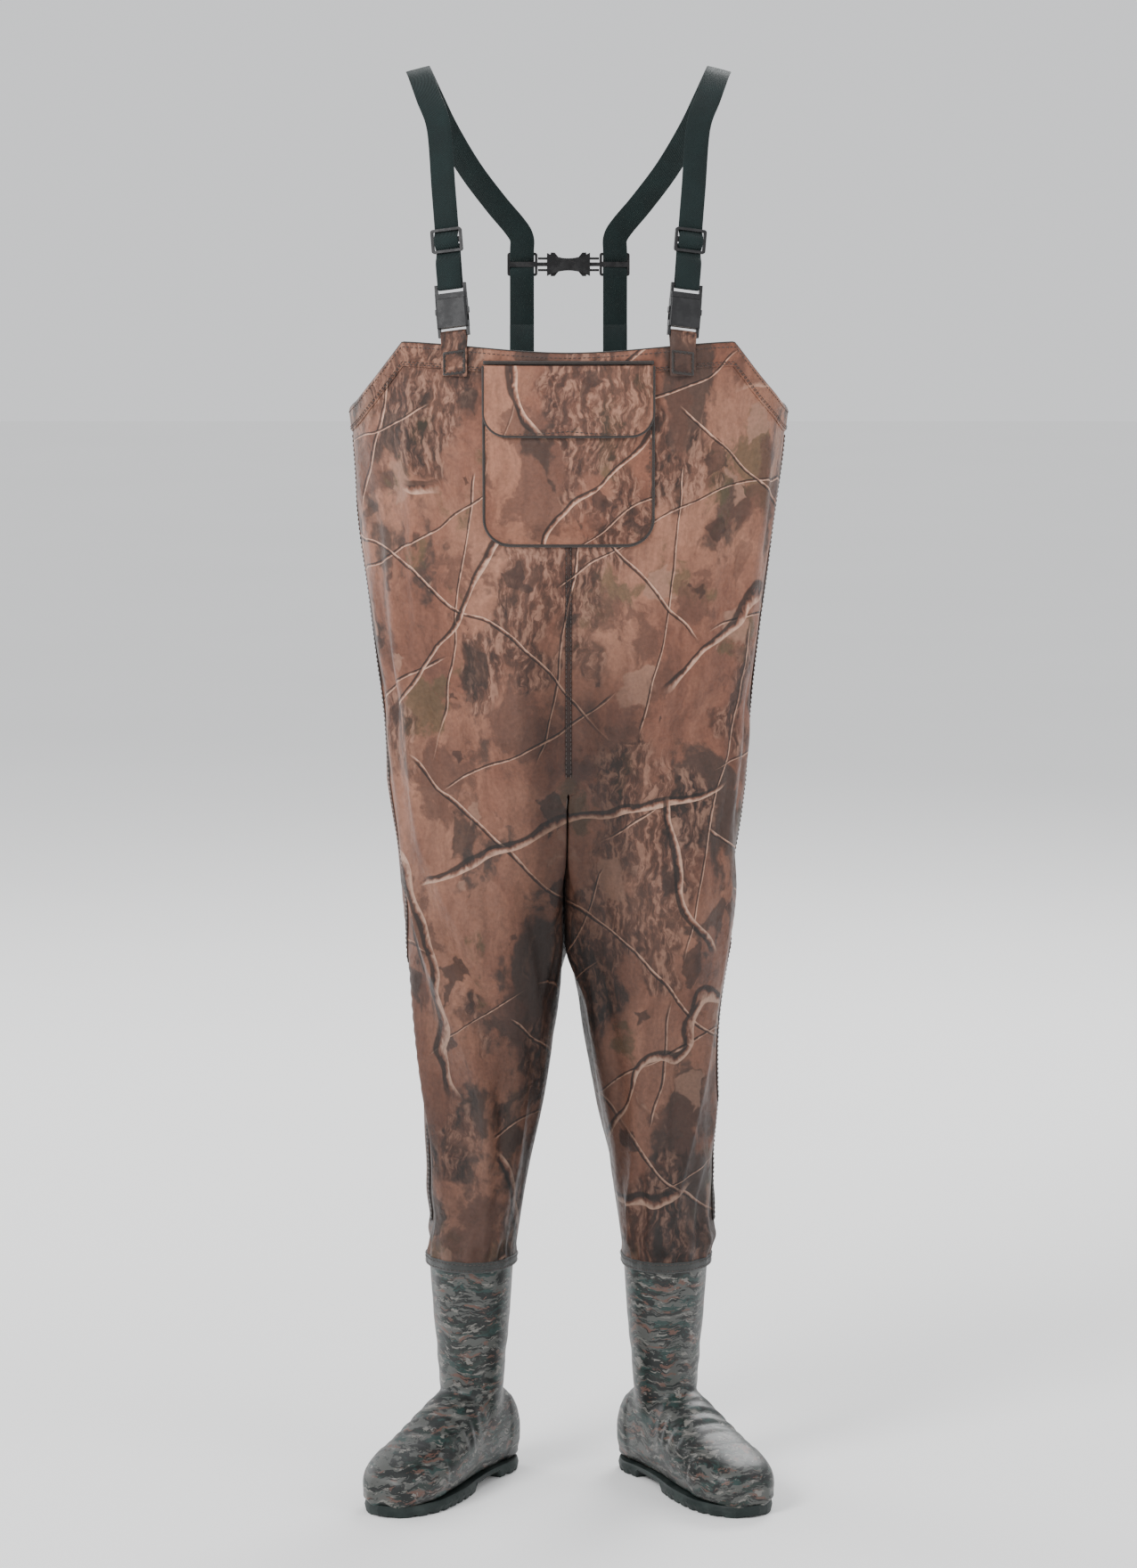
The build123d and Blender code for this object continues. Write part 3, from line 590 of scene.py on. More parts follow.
def makeBootPvc():
    # level brush-like strokes of several tones, under a semi-matte skin
    look = bootLook
    material, tree, shader, where = startMaterial("bootPvc", 0.42)
    warp = noiseAt(tree, where, 22.0, 3.0, 0.6, "Color")
    warp = add(tree, "ShaderNodeVectorMath", {0: warp, 1: (0.5, 0.5, 0.5)}, operation="SUBTRACT").outputs[0]
    warp = add(tree, "ShaderNodeVectorMath", {0: warp, 3: 0.030}, operation="SCALE").outputs[0]
    bent = add(tree, "ShaderNodeVectorMath", {0: where, 1: warp}, operation="ADD").outputs[0]
    color = None
    for tone, move, scale, low, high in (
        ("teal", (0, 0, 0), 20.0, 0.50, 0.515), ("black", (4.1, 2.2, 1.3), 24.0, 0.50, 0.515),
        ("grey", (1.7, 6.1, 3.3), 26.0, 0.50, 0.515), ("clay", (2.9, 3.8, 7.7), 34.0, 0.585, 0.60),
        ("black", (8.1, 0.9, 5.2), 44.0, 0.55, 0.565), ("pale", (6.6, 7.4, 0.8), 52.0, 0.595, 0.61),
    ):
        stroke = noiseAt(tree, stretch(tree, bent, (1, 1, 4.2), move), scale, 4.0, 0.66)
        if color is None:
            color = ramp(tree, stroke, [(low, look["green"]), (high, look[tone])])
        else:
            color = blendColor(tree, calc(tree, "MULTIPLY", mask(tree, stroke, low, high), 0.9), color,
                               look[tone])
    grain = useGroup(tree, grainGroup, {"Vector": where, "Scale": 700.0})
    color = blendColor(tree, calc(tree, "MULTIPLY", grain["Wear"], 0.12), color, (0.07, 0.068, 0.064))
    tree.links.new(color, shader.inputs["Base Color"])
    shader.inputs["Specular IOR Level"].default_value = 0.35
    shader.inputs["Coat Weight"].default_value = 0.08
    shader.inputs["Coat Roughness"].default_value = 0.35
    bumpInto(tree, shader, grain["Height"], 0.0004, 0.5)
    return material


camoCloth = makeCamoCloth("camoCloth")
camoHem = makeCamoCloth("camoHemCloth", (0.93, 0.9, 0.88))
camoPocket = makeCamoCloth("camoPocketCloth", (1.04, 1.02, 1.0), 1.1)
camoSeam = makeCamoCloth("camoSeamCloth", (0.30, 0.27, 0.26))
coating = makeCoating()
webbing = makeWebbing()
blackPlastic = makePlastic("blackBucklePlastic", (0.008, 0.008, 0.009), (0.020, 0.020, 0.021), 0.5)
ringPlastic = makePlastic("ringPlastic", (0.008, 0.008, 0.009), (0.025, 0.025, 0.027), 0.38)
solePlastic = makePlastic("soleRubber", (0.008, 0.014, 0.013), (0.026, 0.036, 0.033), 0.6, 500.0)
bindingTape = makeFabric("bindingTape", (0.012, 0.008, 0.006), (0.055, 0.035, 0.026), 1200.0)
stitchThread = makeFabric("stitchThread", (0.03, 0.016, 0.012), (0.11, 0.06, 0.042), 2500.0)
elasticCloth = makeFabric("elasticCloth", (0.42, 0.40, 0.37), (0.78, 0.75, 0.71), 800.0)
hookPad = makeFabric("hookAndLoop", (0.008, 0.008, 0.008), (0.045, 0.045, 0.045), 1500.0, 0.95, 0.4)
felt = makeFabric("insoleFelt", (0.16, 0.155, 0.15), (0.36, 0.35, 0.33), 1000.0)
cuffTape = makeFabric("cuffTape", (0.008, 0.010, 0.009), (0.040, 0.042, 0.036), 900.0, 0.6)
print("materials made")

# the garment
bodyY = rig.box("back_body_panel")[0].y
frontLow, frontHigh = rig.box("front_body_panel")
crotch = frontLow.z
frontTop = frontHigh.z
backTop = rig.box("back_body_panel")[1].z

garment = {
    "bodyRows": [(crotch, 0.206, 0.104), (0.94, 0.217, 0.122), (1.09, 0.231, 0.144), (1.247, 0.247, 0.157),
                 (1.35, 0.254, 0.162)],
    "legRows": [(0.262, 0.063, 0.162, 0.062), (0.365, 0.047, 0.161, 0.068), (0.455, 0.028, 0.167, 0.076),
                (0.53, 0.014, 0.172, 0.082), (0.60, 0.007, 0.178, 0.088), (0.71, 0.004, 0.191, 0.098),
                (crotch, 0.003, 0.206, 0.104)],
    "squareness": 2.5,
    "sideTop": 1.247,
    "hemDip": 0.010,
    "corner": 0.181,
    "cloth": 0.0016,
    "halfColumns": 110,
    "bodyRings": 120,
    "legRings": 150,
    "innerColumns": 30,
    "legBottom": 0.258,
    "foldSeed": 11.0,
    "bodyFold": 0.0105,
    "legFold": 0.011,
    "innerSway": 0.006,
}


def hemHeight(x, y):
    # the top edge: level across the front, a slanted corner at each side, level behind
    if y > bodyY:
        return garment["sideTop"] + (backTop - garment["sideTop"]) * smooth(0.0, 0.16, y - bodyY)
    side = rowsAt(garment["bodyRows"], garment["sideTop"], 1)
    share = min(max((abs(x) - garment["corner"]) / (side - garment["corner"]), 0), 1)
    return mix(frontTop, garment["sideTop"], share)


def edgeHeight(angle):
    # the top edge at an angle, found from the ring just under it, with a slight dip at the front
    point = bodyRing(angle, garment["sideTop"])[0]
    edge = hemHeight(point.x, point.y)
    if point.y < bodyY:
        edge -= garment["hemDip"] * smooth(0.18, 0.0, abs(point.x))
    return edge


def bodyRing(angle, height):
    # a point of the smooth body, and the way out of it
    width = rowsAt(garment["bodyRows"], height, 1)
    depth = rowsAt(garment["bodyRows"], height, 2)
    power = 2 / garment["squareness"]
    c, s = math.cos(angle), math.sin(angle)
    point = Vector((width * signedPower(c, power), bodyY + depth * signedPower(s, power), height))
    out = Vector((signedPower(c, 2 - power) / width, signedPower(s, 2 - power) / depth, 0)).normalized()
    return point, out


def foldNoise(angle, height, turns, tall, seed):
    place = Vector((math.cos(angle) * turns, math.sin(angle) * turns, height * tall + seed))
    return noise.noise(place)


def bodyFold(angle, height, x, top):
    # long soft folds that run down from the hem and lean towards the crotch
    side = math.copysign(1, math.cos(angle))
    lean = angle + side * 0.35 * (1.25 - height) * abs(math.cos(angle))
    size = garment["bodyFold"]
    ridge = 1 - 2 * abs(foldNoise(lean, height, 1.9, 1.7, garment["foldSeed"]))
    second = foldNoise(lean, height, 4.2, 2.6, garment["foldSeed"] + 7)
    third = foldNoise(angle, height, 7.5, 9.0, garment["foldSeed"] + 15)
    calm = smooth(0.0, 0.16, top - height) * 0.85 + 0.15
    front = math.sin(angle) < 0
    pocketQuiet = 1.0
    if front:
        pocketQuiet = 1 - 0.93 * (1 - smooth(0.085, 0.125, abs(x))) * smooth(1.03, 1.11, height)
    value = size * (0.9 * (ridge - 0.55) + 0.75 * second + 0.28 * third) * calm * pocketQuiet
    if not front:
        # the seat hangs in one deep fold down the middle and fills out on each side of it
        deep = bump(x, 0.004, 0.020) * smooth(1.17, 1.0, height)
        value -= 0.020 * deep
        value += 0.010 * bump(abs(x), 0.075, 0.05) * smooth(1.12, 0.98, height)
        # elastic gathers between the rear tabs
        gather = smooth(0.155, 0.085, abs(x)) * smooth(0.085, 0.0, top - height)
        value += 0.0034 * gather * math.sin(x * 260 + 1.6 * math.sin(x * 61)) - 0.003 * gather
    else:
        # slack where the bib folds below the pocket and at the groin
        value += (0.006 * bump(height, 0.90, 0.05) * math.sin(abs(x) * 34 - height * 22)
                  * smooth(0.0, 0.05, abs(x)))
    return value


def bodySkin(angle, height, lift=0.0, top=None):
    point, out = bodyRing(angle, height)
    edge = hemHeight(point.x, point.y) if top is None else top
    return point + out * (bodyFold(angle, height, point.x, edge) + lift)


def frontAngle(x, height, side=-1):
    width = rowsAt(garment["bodyRows"], height, 1)
    c = math.copysign(min(abs(x) / width, 1) ** (garment["squareness"] / 2), x)
    return math.copysign(math.acos(max(min(c, 1), -1)), side)


def frontSkin(x, height, lift=0.0, side=-1):
    return bodySkin(frontAngle(x, height, side), height, lift)


def legRow(height):
    rows = garment["legRows"]
    return rowsAt(rows, height, 1), rowsAt(rows, height, 2), rowsAt(rows, height, 3)


def legSkin(side, share, height, lift=0.0):
    # share 0 to 1 runs outside from front centre to back centre, 1 to 2 comes back between the legs
    inner, outer, depth = legRow(height)
    flat = smooth(crotch, crotch - 0.16, height)
    middle, half = (inner + outer) / 2, (outer - inner) / 2
    reach = math.radians(138)
    if share <= 1:
        angle = mix(-reach, reach, share)
        ringAngle = mix(-math.pi / 2, math.pi / 2, share)
        power = 2 / garment["squareness"]
        wide = Vector((outer * signedPower(math.cos(ringAngle), power),
                       depth * signedPower(math.sin(ringAngle), power), 0))
    else:
        angle = mix(reach, 2 * math.pi - reach, share - 1)
        # the wall between the legs starts and ends in the folds of the body above it
        back = depth + bodyFold(math.pi / 2, crotch, side * 0.0016, 1.3)
        front = depth + bodyFold(-math.pi / 2, crotch, side * 0.0016, 1.3)
        wide = Vector((0.0016, mix(back, -front, share - 1), 0))
    power = 2 / mix(2.0, 2.5, smooth(0.40, 0.70, height))
    c, s = math.cos(angle), math.sin(angle)
    oval = Vector((middle + half * signedPower(c, power), depth * signedPower(s, power), 0))
    point = wide.lerp(oval, flat)
    out = Vector((c, s, 0)).lerp(Vector((point.x - middle * flat, point.y, 0)).normalized(),
                                 1 - flat).normalized()
    size = garment["legFold"] * (0.62 + 0.45 * smooth(0.80, 0.55, height) - 0.35 * smooth(0.45, 0.33, height))
    seed = garment["foldSeed"] + 30 * side
    lean = angle + 0.5 * math.sin(height * 7 + side)
    ridge = 1 - 2 * abs(foldNoise(lean, height, 1.25, 3.1, seed))
    second = foldNoise(lean, height, 2.7, 5.0, seed + 5)
    slack = foldNoise(angle, height, 1.1, 16.0, seed + 9) * smooth(0.46, 0.30, height)
    crumple = foldNoise(angle, height, 3.2, 34.0, seed + 3) * smooth(0.40, 0.29, height)
    value = size * (0.95 * (ridge - 0.5) + 0.7 * second + 0.75 * slack + 0.40 * crumple)
    value *= smooth(0.262, 0.292, height)
    # a ring of slack stands over the boot's edge, and small pleats run into the cuff
    value += 0.0035 * bump(height, 0.290, 0.014) * (0.7 + 0.5 * foldNoise(angle, height, 1.5, 8.0, seed + 20))
    value += 0.0016 * math.sin(angle * 17 + 2 * math.sin(angle * 3)) * bump(height, 0.278, 0.016)
    if share > 1:
        value = min(value, 0.0) * 0.6 - 0.001
        value *= smooth(crotch, crotch - 0.10, height)
        value += 0.25 * size * second * smooth(0.60, 0.45, height)
    else:
        quiet = smooth(0.0, 0.06, share) * smooth(1.0, 0.94, share)
        value *= mix(quiet, 1.0, smooth(0.62, 0.50, height))
        edgeFold = bodyFold(mix(-math.pi / 2, math.pi / 2, share) if side > 0
                            else mix(-math.pi / 2, -1.5 * math.pi, share),
                            crotch, side * wide.x, 1.3)
        value = mix(edgeFold, value, smooth(crotch, crotch - 0.13, height))
    value += 0.0020 * smooth(0.280, 0.268, height)
    point = point + out * (value + lift)
    # above the knees the two legs lie against each other in one wavy line
    closed = smooth(0.560, 0.640, height) * smooth(0.034, 0.010, point.x)
    sway = garment["innerSway"] * math.sin(point.y * 38 + height * 9) * smooth(crotch, crotch - 0.02, height)
    x = mix(max(point.x, 0.0012), 0.0013 + side * sway, closed)
    return Vector((side * x, bodyY + point.y, height))


def makeGarment():
    half, rings = garment["halfColumns"], garment["bodyRings"]
    around = 2 * half
    points, faces, inside = [], [], []
    for r in range(rings + 1):
        down = (r / rings) ** 1.06
        for k in range(around):
            angle = -math.pi / 2 + math.pi * k / half
            edge = edgeHeight(angle)
            height = mix(edge, crotch, down)
            points.append(bodySkin(angle, height, 0.0, edge))
    faces += gridFaces(rings + 1, around, True)
    lastRing = rings * around
    innerCount = garment["innerColumns"]
    crotchLine = []
    for k in range(1, innerCount):
        share = k / innerCount
        back, front = points[lastRing + half], points[lastRing]
        crotchLine.append(len(points))
        points.append(back.lerp(front, share) + Vector((0, 0, -0.004 * math.sin(math.pi * share))))
    for side in (1, -1):
        columns = half + innerCount
        before = [lastRing + (k if side > 0 else (around - k) % around) for k in range(half + 1)] + crotchLine
        for r in range(1, garment["legRings"] + 1):
            height = mix(crotch, garment["legBottom"], r / garment["legRings"])
            row = []
            for k in range(columns):
                share = k / half if k <= half else 1 + (k - half) / innerCount
                row.append(len(points))
                points.append(legSkin(side, share, height))
            for k in range(columns):
                d = (k + 1) % columns
                quad = (before[k], before[d], row[d], row[k])
                faces.append(quad if side < 0 else quad[::-1])
            before = row
    bodyCount = rings * around
    faces = [f[::-1] if n < bodyCount else f for n, f in enumerate(faces)]
    piece = newMesh("garmentShell", points, faces, [camoCloth, coating])
    shape = bmesh.new()
    shape.from_mesh(piece.data)
    bmesh.ops.recalc_face_normals(shape, faces=shape.faces)
    cutArea = sum(f.calc_area() for f in shape.faces)
    shape.to_mesh(piece.data)
    shape.free()
    outward = piece.data.polygons[rings * around // 2 * 1].normal
    middle = piece.data.polygons[rings * around // 2 * 1].center
    if outward.dot(Vector((middle.x, middle.y - bodyY, 0))) < 0:
        piece.data.flip_normals()
    thicken(piece, garment["cloth"], -1.0, 1)
    return piece, cutArea


garmentShell, clothArea = makeGarment()
finishPiece(garmentShell, "root", "camo_fabric",
            ["front_body_panel", "back_body_panel", "left_leg", "right_leg", "crotch_gusset"])
print("garment made, cloth area", round(clothArea, 3))


# pieces laid on the garment
garmentTree = BVHTree.FromObject(garmentShell, bpy.context.evaluated_depsgraph_get())


def drape(x, height, side=-1):
    # the outer cloth at x and a height, seen from the front (side -1) or from behind
    edge = edgeHeight(frontAngle(x, garment["sideTop"], side)) - 0.003
    start = Vector((x, side * 1.0, min(height, edge)))
    hit, normal, _, _ = garmentTree.ray_cast(start, Vector((0, -side, 0)))
    if normal.y * side < 0:
        normal = -normal
    return hit + Vector((0, 0, max(height - edge, 0))), normal


def drapeSide(side, height):
    hit, normal, _, _ = garmentTree.ray_cast(Vector((side * 1.0, bodyY + 0.002, height)),
                                             Vector((-side, 0, 0)))
    return hit, (normal if normal.x * side > 0 else -normal)


def strip(name, frames, halfWidth, thickness, material, crown=0.0):
    # a band along frames of (point, across, out); its section is a flat oval of ten points
    section = []
    for u, v in ((-1, 0), (-0.96, 0.8), (-0.5, 1), (0, 1 + crown), (0.5, 1), (0.96, 0.8), (1, 0),
                 (0.96, -0.8), (0, -1), (-0.96, -0.8)):
        section.append((u * halfWidth, v * thickness / 2))
    points, count = [], len(section)
    for point, across, out in frames:
        points += [point + across * u + out * v for u, v in section]
    faces = gridFaces(len(frames), count, True)
    faces += [tuple(range(count))[::-1], tuple(range(len(points) - count, len(points)))]
    return newMesh(name, points, faces, [material])


def framesAlong(points, outs):
    frames = []
    for k, point in enumerate(points):
        along = (points[min(k + 1, len(points) - 1)] - points[max(k - 1, 0)]).normalized()
        out = (outs[k] - along * outs[k].dot(along)).normalized()
        frames.append((point, along.cross(out), out))
    return frames


def tube(name, points, radius, material, sides=8, outs=None):
    outs = outs or [Vector((0, -1, 0.02))] * len(points)
    ring = []
    for point, across, out in framesAlong(points, outs):
        for k in range(sides):
            turn = 2 * math.pi * k / sides
            ring.append(point + (across * math.cos(turn) + out * math.sin(turn)) * radius)
    faces = gridFaces(len(points), sides, True)
    faces += [tuple(range(sides))[::-1], tuple(range(len(ring) - sides, len(ring)))]
    return newMesh(name, ring, faces, [material])


def patch(name, place, columns, rows, thickness, materials, innerSlot=0):
    # a sheet over u and v from 0 to 1
    points = [place(c / columns, r / rows) for r in range(rows + 1) for c in range(columns + 1)]
    piece = newMesh(name, points, gridFaces(rows + 1, columns + 1, False), materials)
    return thicken(piece, thickness, 0.0, innerSlot)


stitch = {"length": 0.0034, "gap": 0.0019, "radius": 0.00042}


def stitches(name, rows):
    # short raised threads along each row of (point, out)
    points, faces = [], []
    for row in rows:
        carried = 0.0
        for (a, outA), (b, _) in zip(row, row[1:]):
            length = (b - a).length
            if length < 1e-7:
                continue
            along = (b - a) / length
            while carried < length:
                start = a + along * carried
                end = start + along * stitch["length"]
                across = along.cross(outA).normalized() * stitch["radius"]
                up = outA * stitch["radius"]
                base = len(points)
                middle = (start + end) / 2
                points += [start - across, start + across, start + up * 0.6, end - across, end + across,
                           end + up * 0.6,
                           middle - across * 1.2, middle + across * 1.2, middle + up * 1.7]
                for c in (0, 1, 2):
                    d = (c + 1) % 3
                    faces.append((base + c, base + d, base + 6 + d, base + 6 + c))
                    faces.append((base + 6 + c, base + 6 + d, base + 3 + d, base + 3 + c))
                faces += [(base, base + 2, base + 1), (base + 3, base + 4, base + 5)]
                carried += stitch["length"] + stitch["gap"]
            carried -= length
    return newMesh(name, points, faces, [stitchThread])


# the hem wraps over the top edge, outside and inside
hem = {"depth": 0.025, "lift": 0.0011, "columns": 420}


def makeHem():
    inside = -garment["cloth"] - hem["lift"]
    profile = [(1.0, hem["lift"] * 0.4), (0.94, hem["lift"]), (0.5, hem["lift"] * 1.3),
               (0.08, hem["lift"] * 1.6), (-0.03, hem["lift"] * 0.9),
               (-0.07, -garment["cloth"] * 0.5), (-0.03, inside * 0.95), (0.1, inside - 0.0006),
               (0.55, inside - 0.0004), (1.0, inside)]
    count = hem["columns"]
    points = []
    for share, lift in profile:
        for k in range(count):
            angle = 2 * math.pi * k / count
            edge = edgeHeight(angle)
            points.append(bodySkin(angle, edge - share * hem["depth"], lift, edge))
    piece = newMesh("hemBand", points, gridFaces(len(profile), count, True), [camoHem])
    thicken(piece, 0.0009, 0.0)
    finishPiece(piece, "root", "camo_fabric", ["front_hem_band", "back_hem_band"])
    rows = []
    for share in (0.13, 0.80, 0.90):
        row = []
        for k in range(count + 1):
            angle = 2 * math.pi * k / count
            edge = edgeHeight(angle)
            row.append((bodySkin(angle, edge - share * hem["depth"], hem["lift"] * 1.5 + 0.0006, edge),
                        bodyRing(angle, edge)[1]))
        rows.append(row)
    finishPiece(stitches("hemStitching", rows), "root", "seam_tape")
    # dark bound edge along the very top
    points, outs = [], []
    for k in range(count + 1):
        angle = 2 * math.pi * k / count
        edge = edgeHeight(angle)
        points.append(bodySkin(angle, edge + 0.0017, -garment["cloth"] / 2, edge))
        outs.append(Vector((0, 0, 1)))
    finishPiece(tube("topEdgePiping", points, 0.0013, bindingTape, 6, outs), "root", "binding")


makeHem()

elasticBand = {"half": 0.105, "drop": 0.003, "depth": 0.018}


def makeElastic():
    def place(u, v):
        x = mix(-elasticBand["half"], elasticBand["half"], u)
        angle = frontAngle(x, garment["sideTop"], 1)
        edge = edgeHeight(angle)
        ridge = 0.0004 * math.sin(v * 5 * 2 * math.pi)
        return bodySkin(angle, edge - elasticBand["drop"] - v * elasticBand["depth"], -0.0046 + ridge, edge)
    piece = patch("backElastic", place, 220, 20, 0.0011, [elasticCloth])
    finishPiece(piece, "root", "elastic", ["back_elastic"])


makeElastic()

seams = {"half": 0.0036, "thickness": 0.0011, "stitchInset": 0.0026}


def makeSeam(name, spots, nodes=(), half=None):
    half = half or seams["half"]
    points = [hit + normal * 0.0005 for hit, normal in spots]
    for _ in range(2):
        points = ([points[0]] + [(a + b * 2 + c) / 4 for a, b, c in zip(points, points[1:], points[2:])]
                  + [points[-1]])
    frames = framesAlong(points, [normal for _, normal in spots])
    piece = strip(name, frames, half, seams["thickness"], camoSeam, 0.2)
    finishPiece(piece, "root", "seam_tape", nodes)
    rows = []
    for sign in (-1, 1):
        rows.append([(p + across * sign * seams["stitchInset"] + out * 0.0008, out)
                     for p, across, out in frames])
    finishPiece(stitches(name + "Stitching", rows), "root", "seam_tape")


def makeSeams():
    def heights(high, low, step=0.004):
        return [high - k * step for k in range(int((high - low) / step))]
    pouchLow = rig.box("pocket_pouch")[0].z
    makeSeam("centreFrontSeam", [drape(0.0, z, -1) for z in heights(pouchLow - 0.002, crotch + 0.012)],
             ["centre_front_seam"])
    makeSeam("centreBackSeam", [drape(0.0, z, 1) for z in heights(garment["sideTop"] - 0.02, crotch + 0.012)],
             ["centre_back_seam"])
    for side, name in ((1, "left"), (-1, "right")):
        makeSeam(name + "SideSeam", [drapeSide(side, z) for z in heights(garment["sideTop"] - 0.030, 0.30)])
        spots = []
        for k in range(90):
            t = k / 89
            spots.append(drape(side * (0.002 + 0.172 * t**0.9), 1.05 - 0.32 * t**1.15, 1))
        makeSeam(name + "SeatSeam", spots)


makeSeams()
print("hem, elastic and seams made")

# chest pocket
pouchLow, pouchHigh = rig.box("pocket_pouch")
flapLow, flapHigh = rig.box("pocket_flap")
pocket = {
    "half": pouchHigh.x, "low": pouchLow.z, "mouth": pouchHigh.z, "corner": 0.030, "flapCorner": 0.026,
    "full": 0.0105, "cloth": 0.0012, "edge": 0.0017, "flapGap": 0.0026,
}


def pocketHalf(height, low, corner):
    if height >= low + corner:
        return pocket["half"]
    drop = min(low + corner - height, corner)
    return pocket["half"] - corner + math.sqrt(max(corner**2 - drop**2, 0))


def pouchLift(x, height):
    up = (height - pocket["low"]) / (flapHigh.z - pocket["low"])
    across = 1 - abs(x / pocket["half"]) ** 5
    rise = smooth(0.0, 0.16, up) * mix(1.0, 0.34, smooth(0.25, 1.0, up))
    sag = 0.0012 * noise.noise(Vector((x * 26, height * 18, 3.0)))
    return 0.0012 + max(across, 0) * rise * (pocket["full"] + sag)


def outline(low, high, corner, lift, steps=22):
    # down one side, round the two lower corners, and up the other side
    half, points = pocket["half"], []
    for k in range(steps):
        points.append((-half, mix(high, low + corner, k / steps)))
    for k in range(steps + 1):
        turn = math.pi / 2 * k / steps
        points.append((-half + corner - corner * math.cos(turn), low + corner - corner * math.sin(turn)))
    for k in range(1, steps * 2):
        points.append((mix(-half + corner, half - corner, k / (steps * 2)), low))
    for k in range(steps + 1):
        turn = math.pi / 2 * k / steps
        points.append((half - corner + corner * math.sin(turn), low + corner - corner * math.cos(turn)))
    for k in range(1, steps + 1):
        points.append((half, mix(low + corner, high, k / steps)))
    return [frontSkin(x, z, lift(x, z)) for x, z in points]


def makePocket():
    def pouchPlace(u, v):
        height = mix(pocket["low"], pocket["mouth"], v)
        x = (2 * u - 1) * pocketHalf(height, pocket["low"], pocket["corner"])
        edgeDrop = 0.0045 * bump(x, 0, 0.06) * smooth(0.9, 1.0, v)
        return frontSkin(x, height - edgeDrop, pouchLift(x, height))

    def flapPlace(u, v):
        height = mix(flapLow.z, flapHigh.z - 0.0004, v)
        x = (2 * u - 1) * pocketHalf(height, flapLow.z, pocket["flapCorner"])
        return frontSkin(x, height, flapLift(x, height))

    def flapLift(x, height):
        curl = 0.0016 * smooth(flapLow.z + 0.03, flapLow.z, height)
        return pouchLift(x, height) + pocket["flapGap"] + curl + 0.0018 * abs(x / pocket["half"]) ** 4

    pouch = patch("chestPouch", pouchPlace, 90, 90, pocket["cloth"], [camoPocket, coating], 1)
    finishPiece(pouch, "root", "camo_fabric", ["pocket_pouch"])
    edge = tube("pouchBinding",
                outline(pocket["low"], pocket["mouth"], pocket["corner"], lambda x, z: 0.0022),
                pocket["edge"], bindingTape)
    finishPiece(edge, "root", "binding")
    flap = patch("pocketFlap", flapPlace, 90, 44, pocket["cloth"] + 0.0004, [camoPocket])
    finishPiece(flap, "pocket_flap", "camo_fabric", ["pocket_flap"])
    edge = tube("flapBinding", outline(flapLow.z, flapHigh.z - 0.001, pocket["flapCorner"], flapLift),
                pocket["edge"] * 0.9, bindingTape)
    finishPiece(edge, "pocket_flap", "binding")
    half = pocket["half"]
    top = [frontSkin(mix(-half, half, k / 60), flapHigh.z + 0.0026, 0.0036) for k in range(61)]
    finishPiece(tube("flapTopPiping", top, 0.0021, bindingTape), "root", "binding", ["flap_piping"])

    # hook pad behind the flap, loop pad on the pouch
    padLow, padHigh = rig.box("pouch_loop_pad")
    for name, body, node, lift in (("loopPad", "root", "pouch_loop_pad", 0.0012),
                                   ("hookPad", "pocket_flap", "flap_hook_pad", None)):
        def padPlace(u, v):
            x, z = mix(padLow.x, padHigh.x, u), mix(padLow.z, padHigh.z, v)
            rise = pouchLift(x, z) + (lift if lift else pocket["flapGap"] - 0.0009)
            return frontSkin(x, z, rise + 0.00012 * math.sin(u * 190) * math.sin(v * 60))
        finishPiece(patch(name, padPlace, 60, 18, 0.0005, [hookPad]), body, "hook_and_loop", [node])

    # stitching just inside each bound edge
    def inset(points, amount):
        centre = sum(points, Vector()) / len(points)
        out = Vector((0, -1, 0.08)).normalized()
        return [(p + Vector(((centre - p).x, 0, (centre - p).z)).normalized() * amount + out * 0.0011, out)
                for p in points]
    pouchRow = inset(outline(pocket["low"] + 0.005, pocket["mouth"] - 0.006, pocket["corner"],
                             lambda x, z: pouchLift(x * 0.955, z) - 0.0003), 0.0045)
    finishPiece(stitches("pouchStitching", [pouchRow]), "root", "seam_tape")
    flapRow = inset(outline(flapLow.z + 0.001, flapHigh.z - 0.004, pocket["flapCorner"],
                            lambda x, z: flapLift(x * 0.96, z)), 0.0046)
    finishPiece(stitches("flapStitching", [flapRow]), "pocket_flap", "seam_tape")


makePocket()


def makeInnerPocket():
    low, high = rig.box("inner_pocket")

    def place(u, v):
        x, height = mix(low.x, high.x, u), mix(low.z, high.z, v)
        ripple = 0.0009 * noise.noise(Vector((x * 30, height * 12, 8)))
        return frontSkin(x, height, -0.0062 + ripple - 0.0012 * math.sin(math.pi * u))
    piece = patch("innerPocket", place, 60, 50, 0.0012, [camoPocket])
    finishPiece(piece, "root", "camo_fabric", ["inner_pocket"])


makeInnerPocket()
print("pockets made")

# straps, tabs and buckles
record = frame["record"]
mountAt = {mount["name"]: mount for mount in record["mounts"]}
jointAt = {joint["name"]: joint for joint in frame["joints"]}
web = {
    "half": 0.014, "thick": 0.0016, "plugBar": 0.0545, "wrap": 0.0034, "adjuster": 0.106, "straight": 0.235,
    "back": 0.165, "slider": 0.0064, "ringWrap": 0.00425, "tabHalf": 0.0149, "tabThick": 0.0019,
    # from the straight front run over the shoulder to the back, measured from the garment's middle
    "route": [(0.157, -0.062, 1.602), (0.166, -0.028, 1.624), (0.170, 0.008, 1.630), (0.167, 0.045, 1.621),
              (0.157, 0.082, 1.596),
              (0.140, 0.113, 1.558), (0.114, 0.139, 1.512), (0.085, 0.156, 1.472), (0.062, 0.164, 1.444)],
}


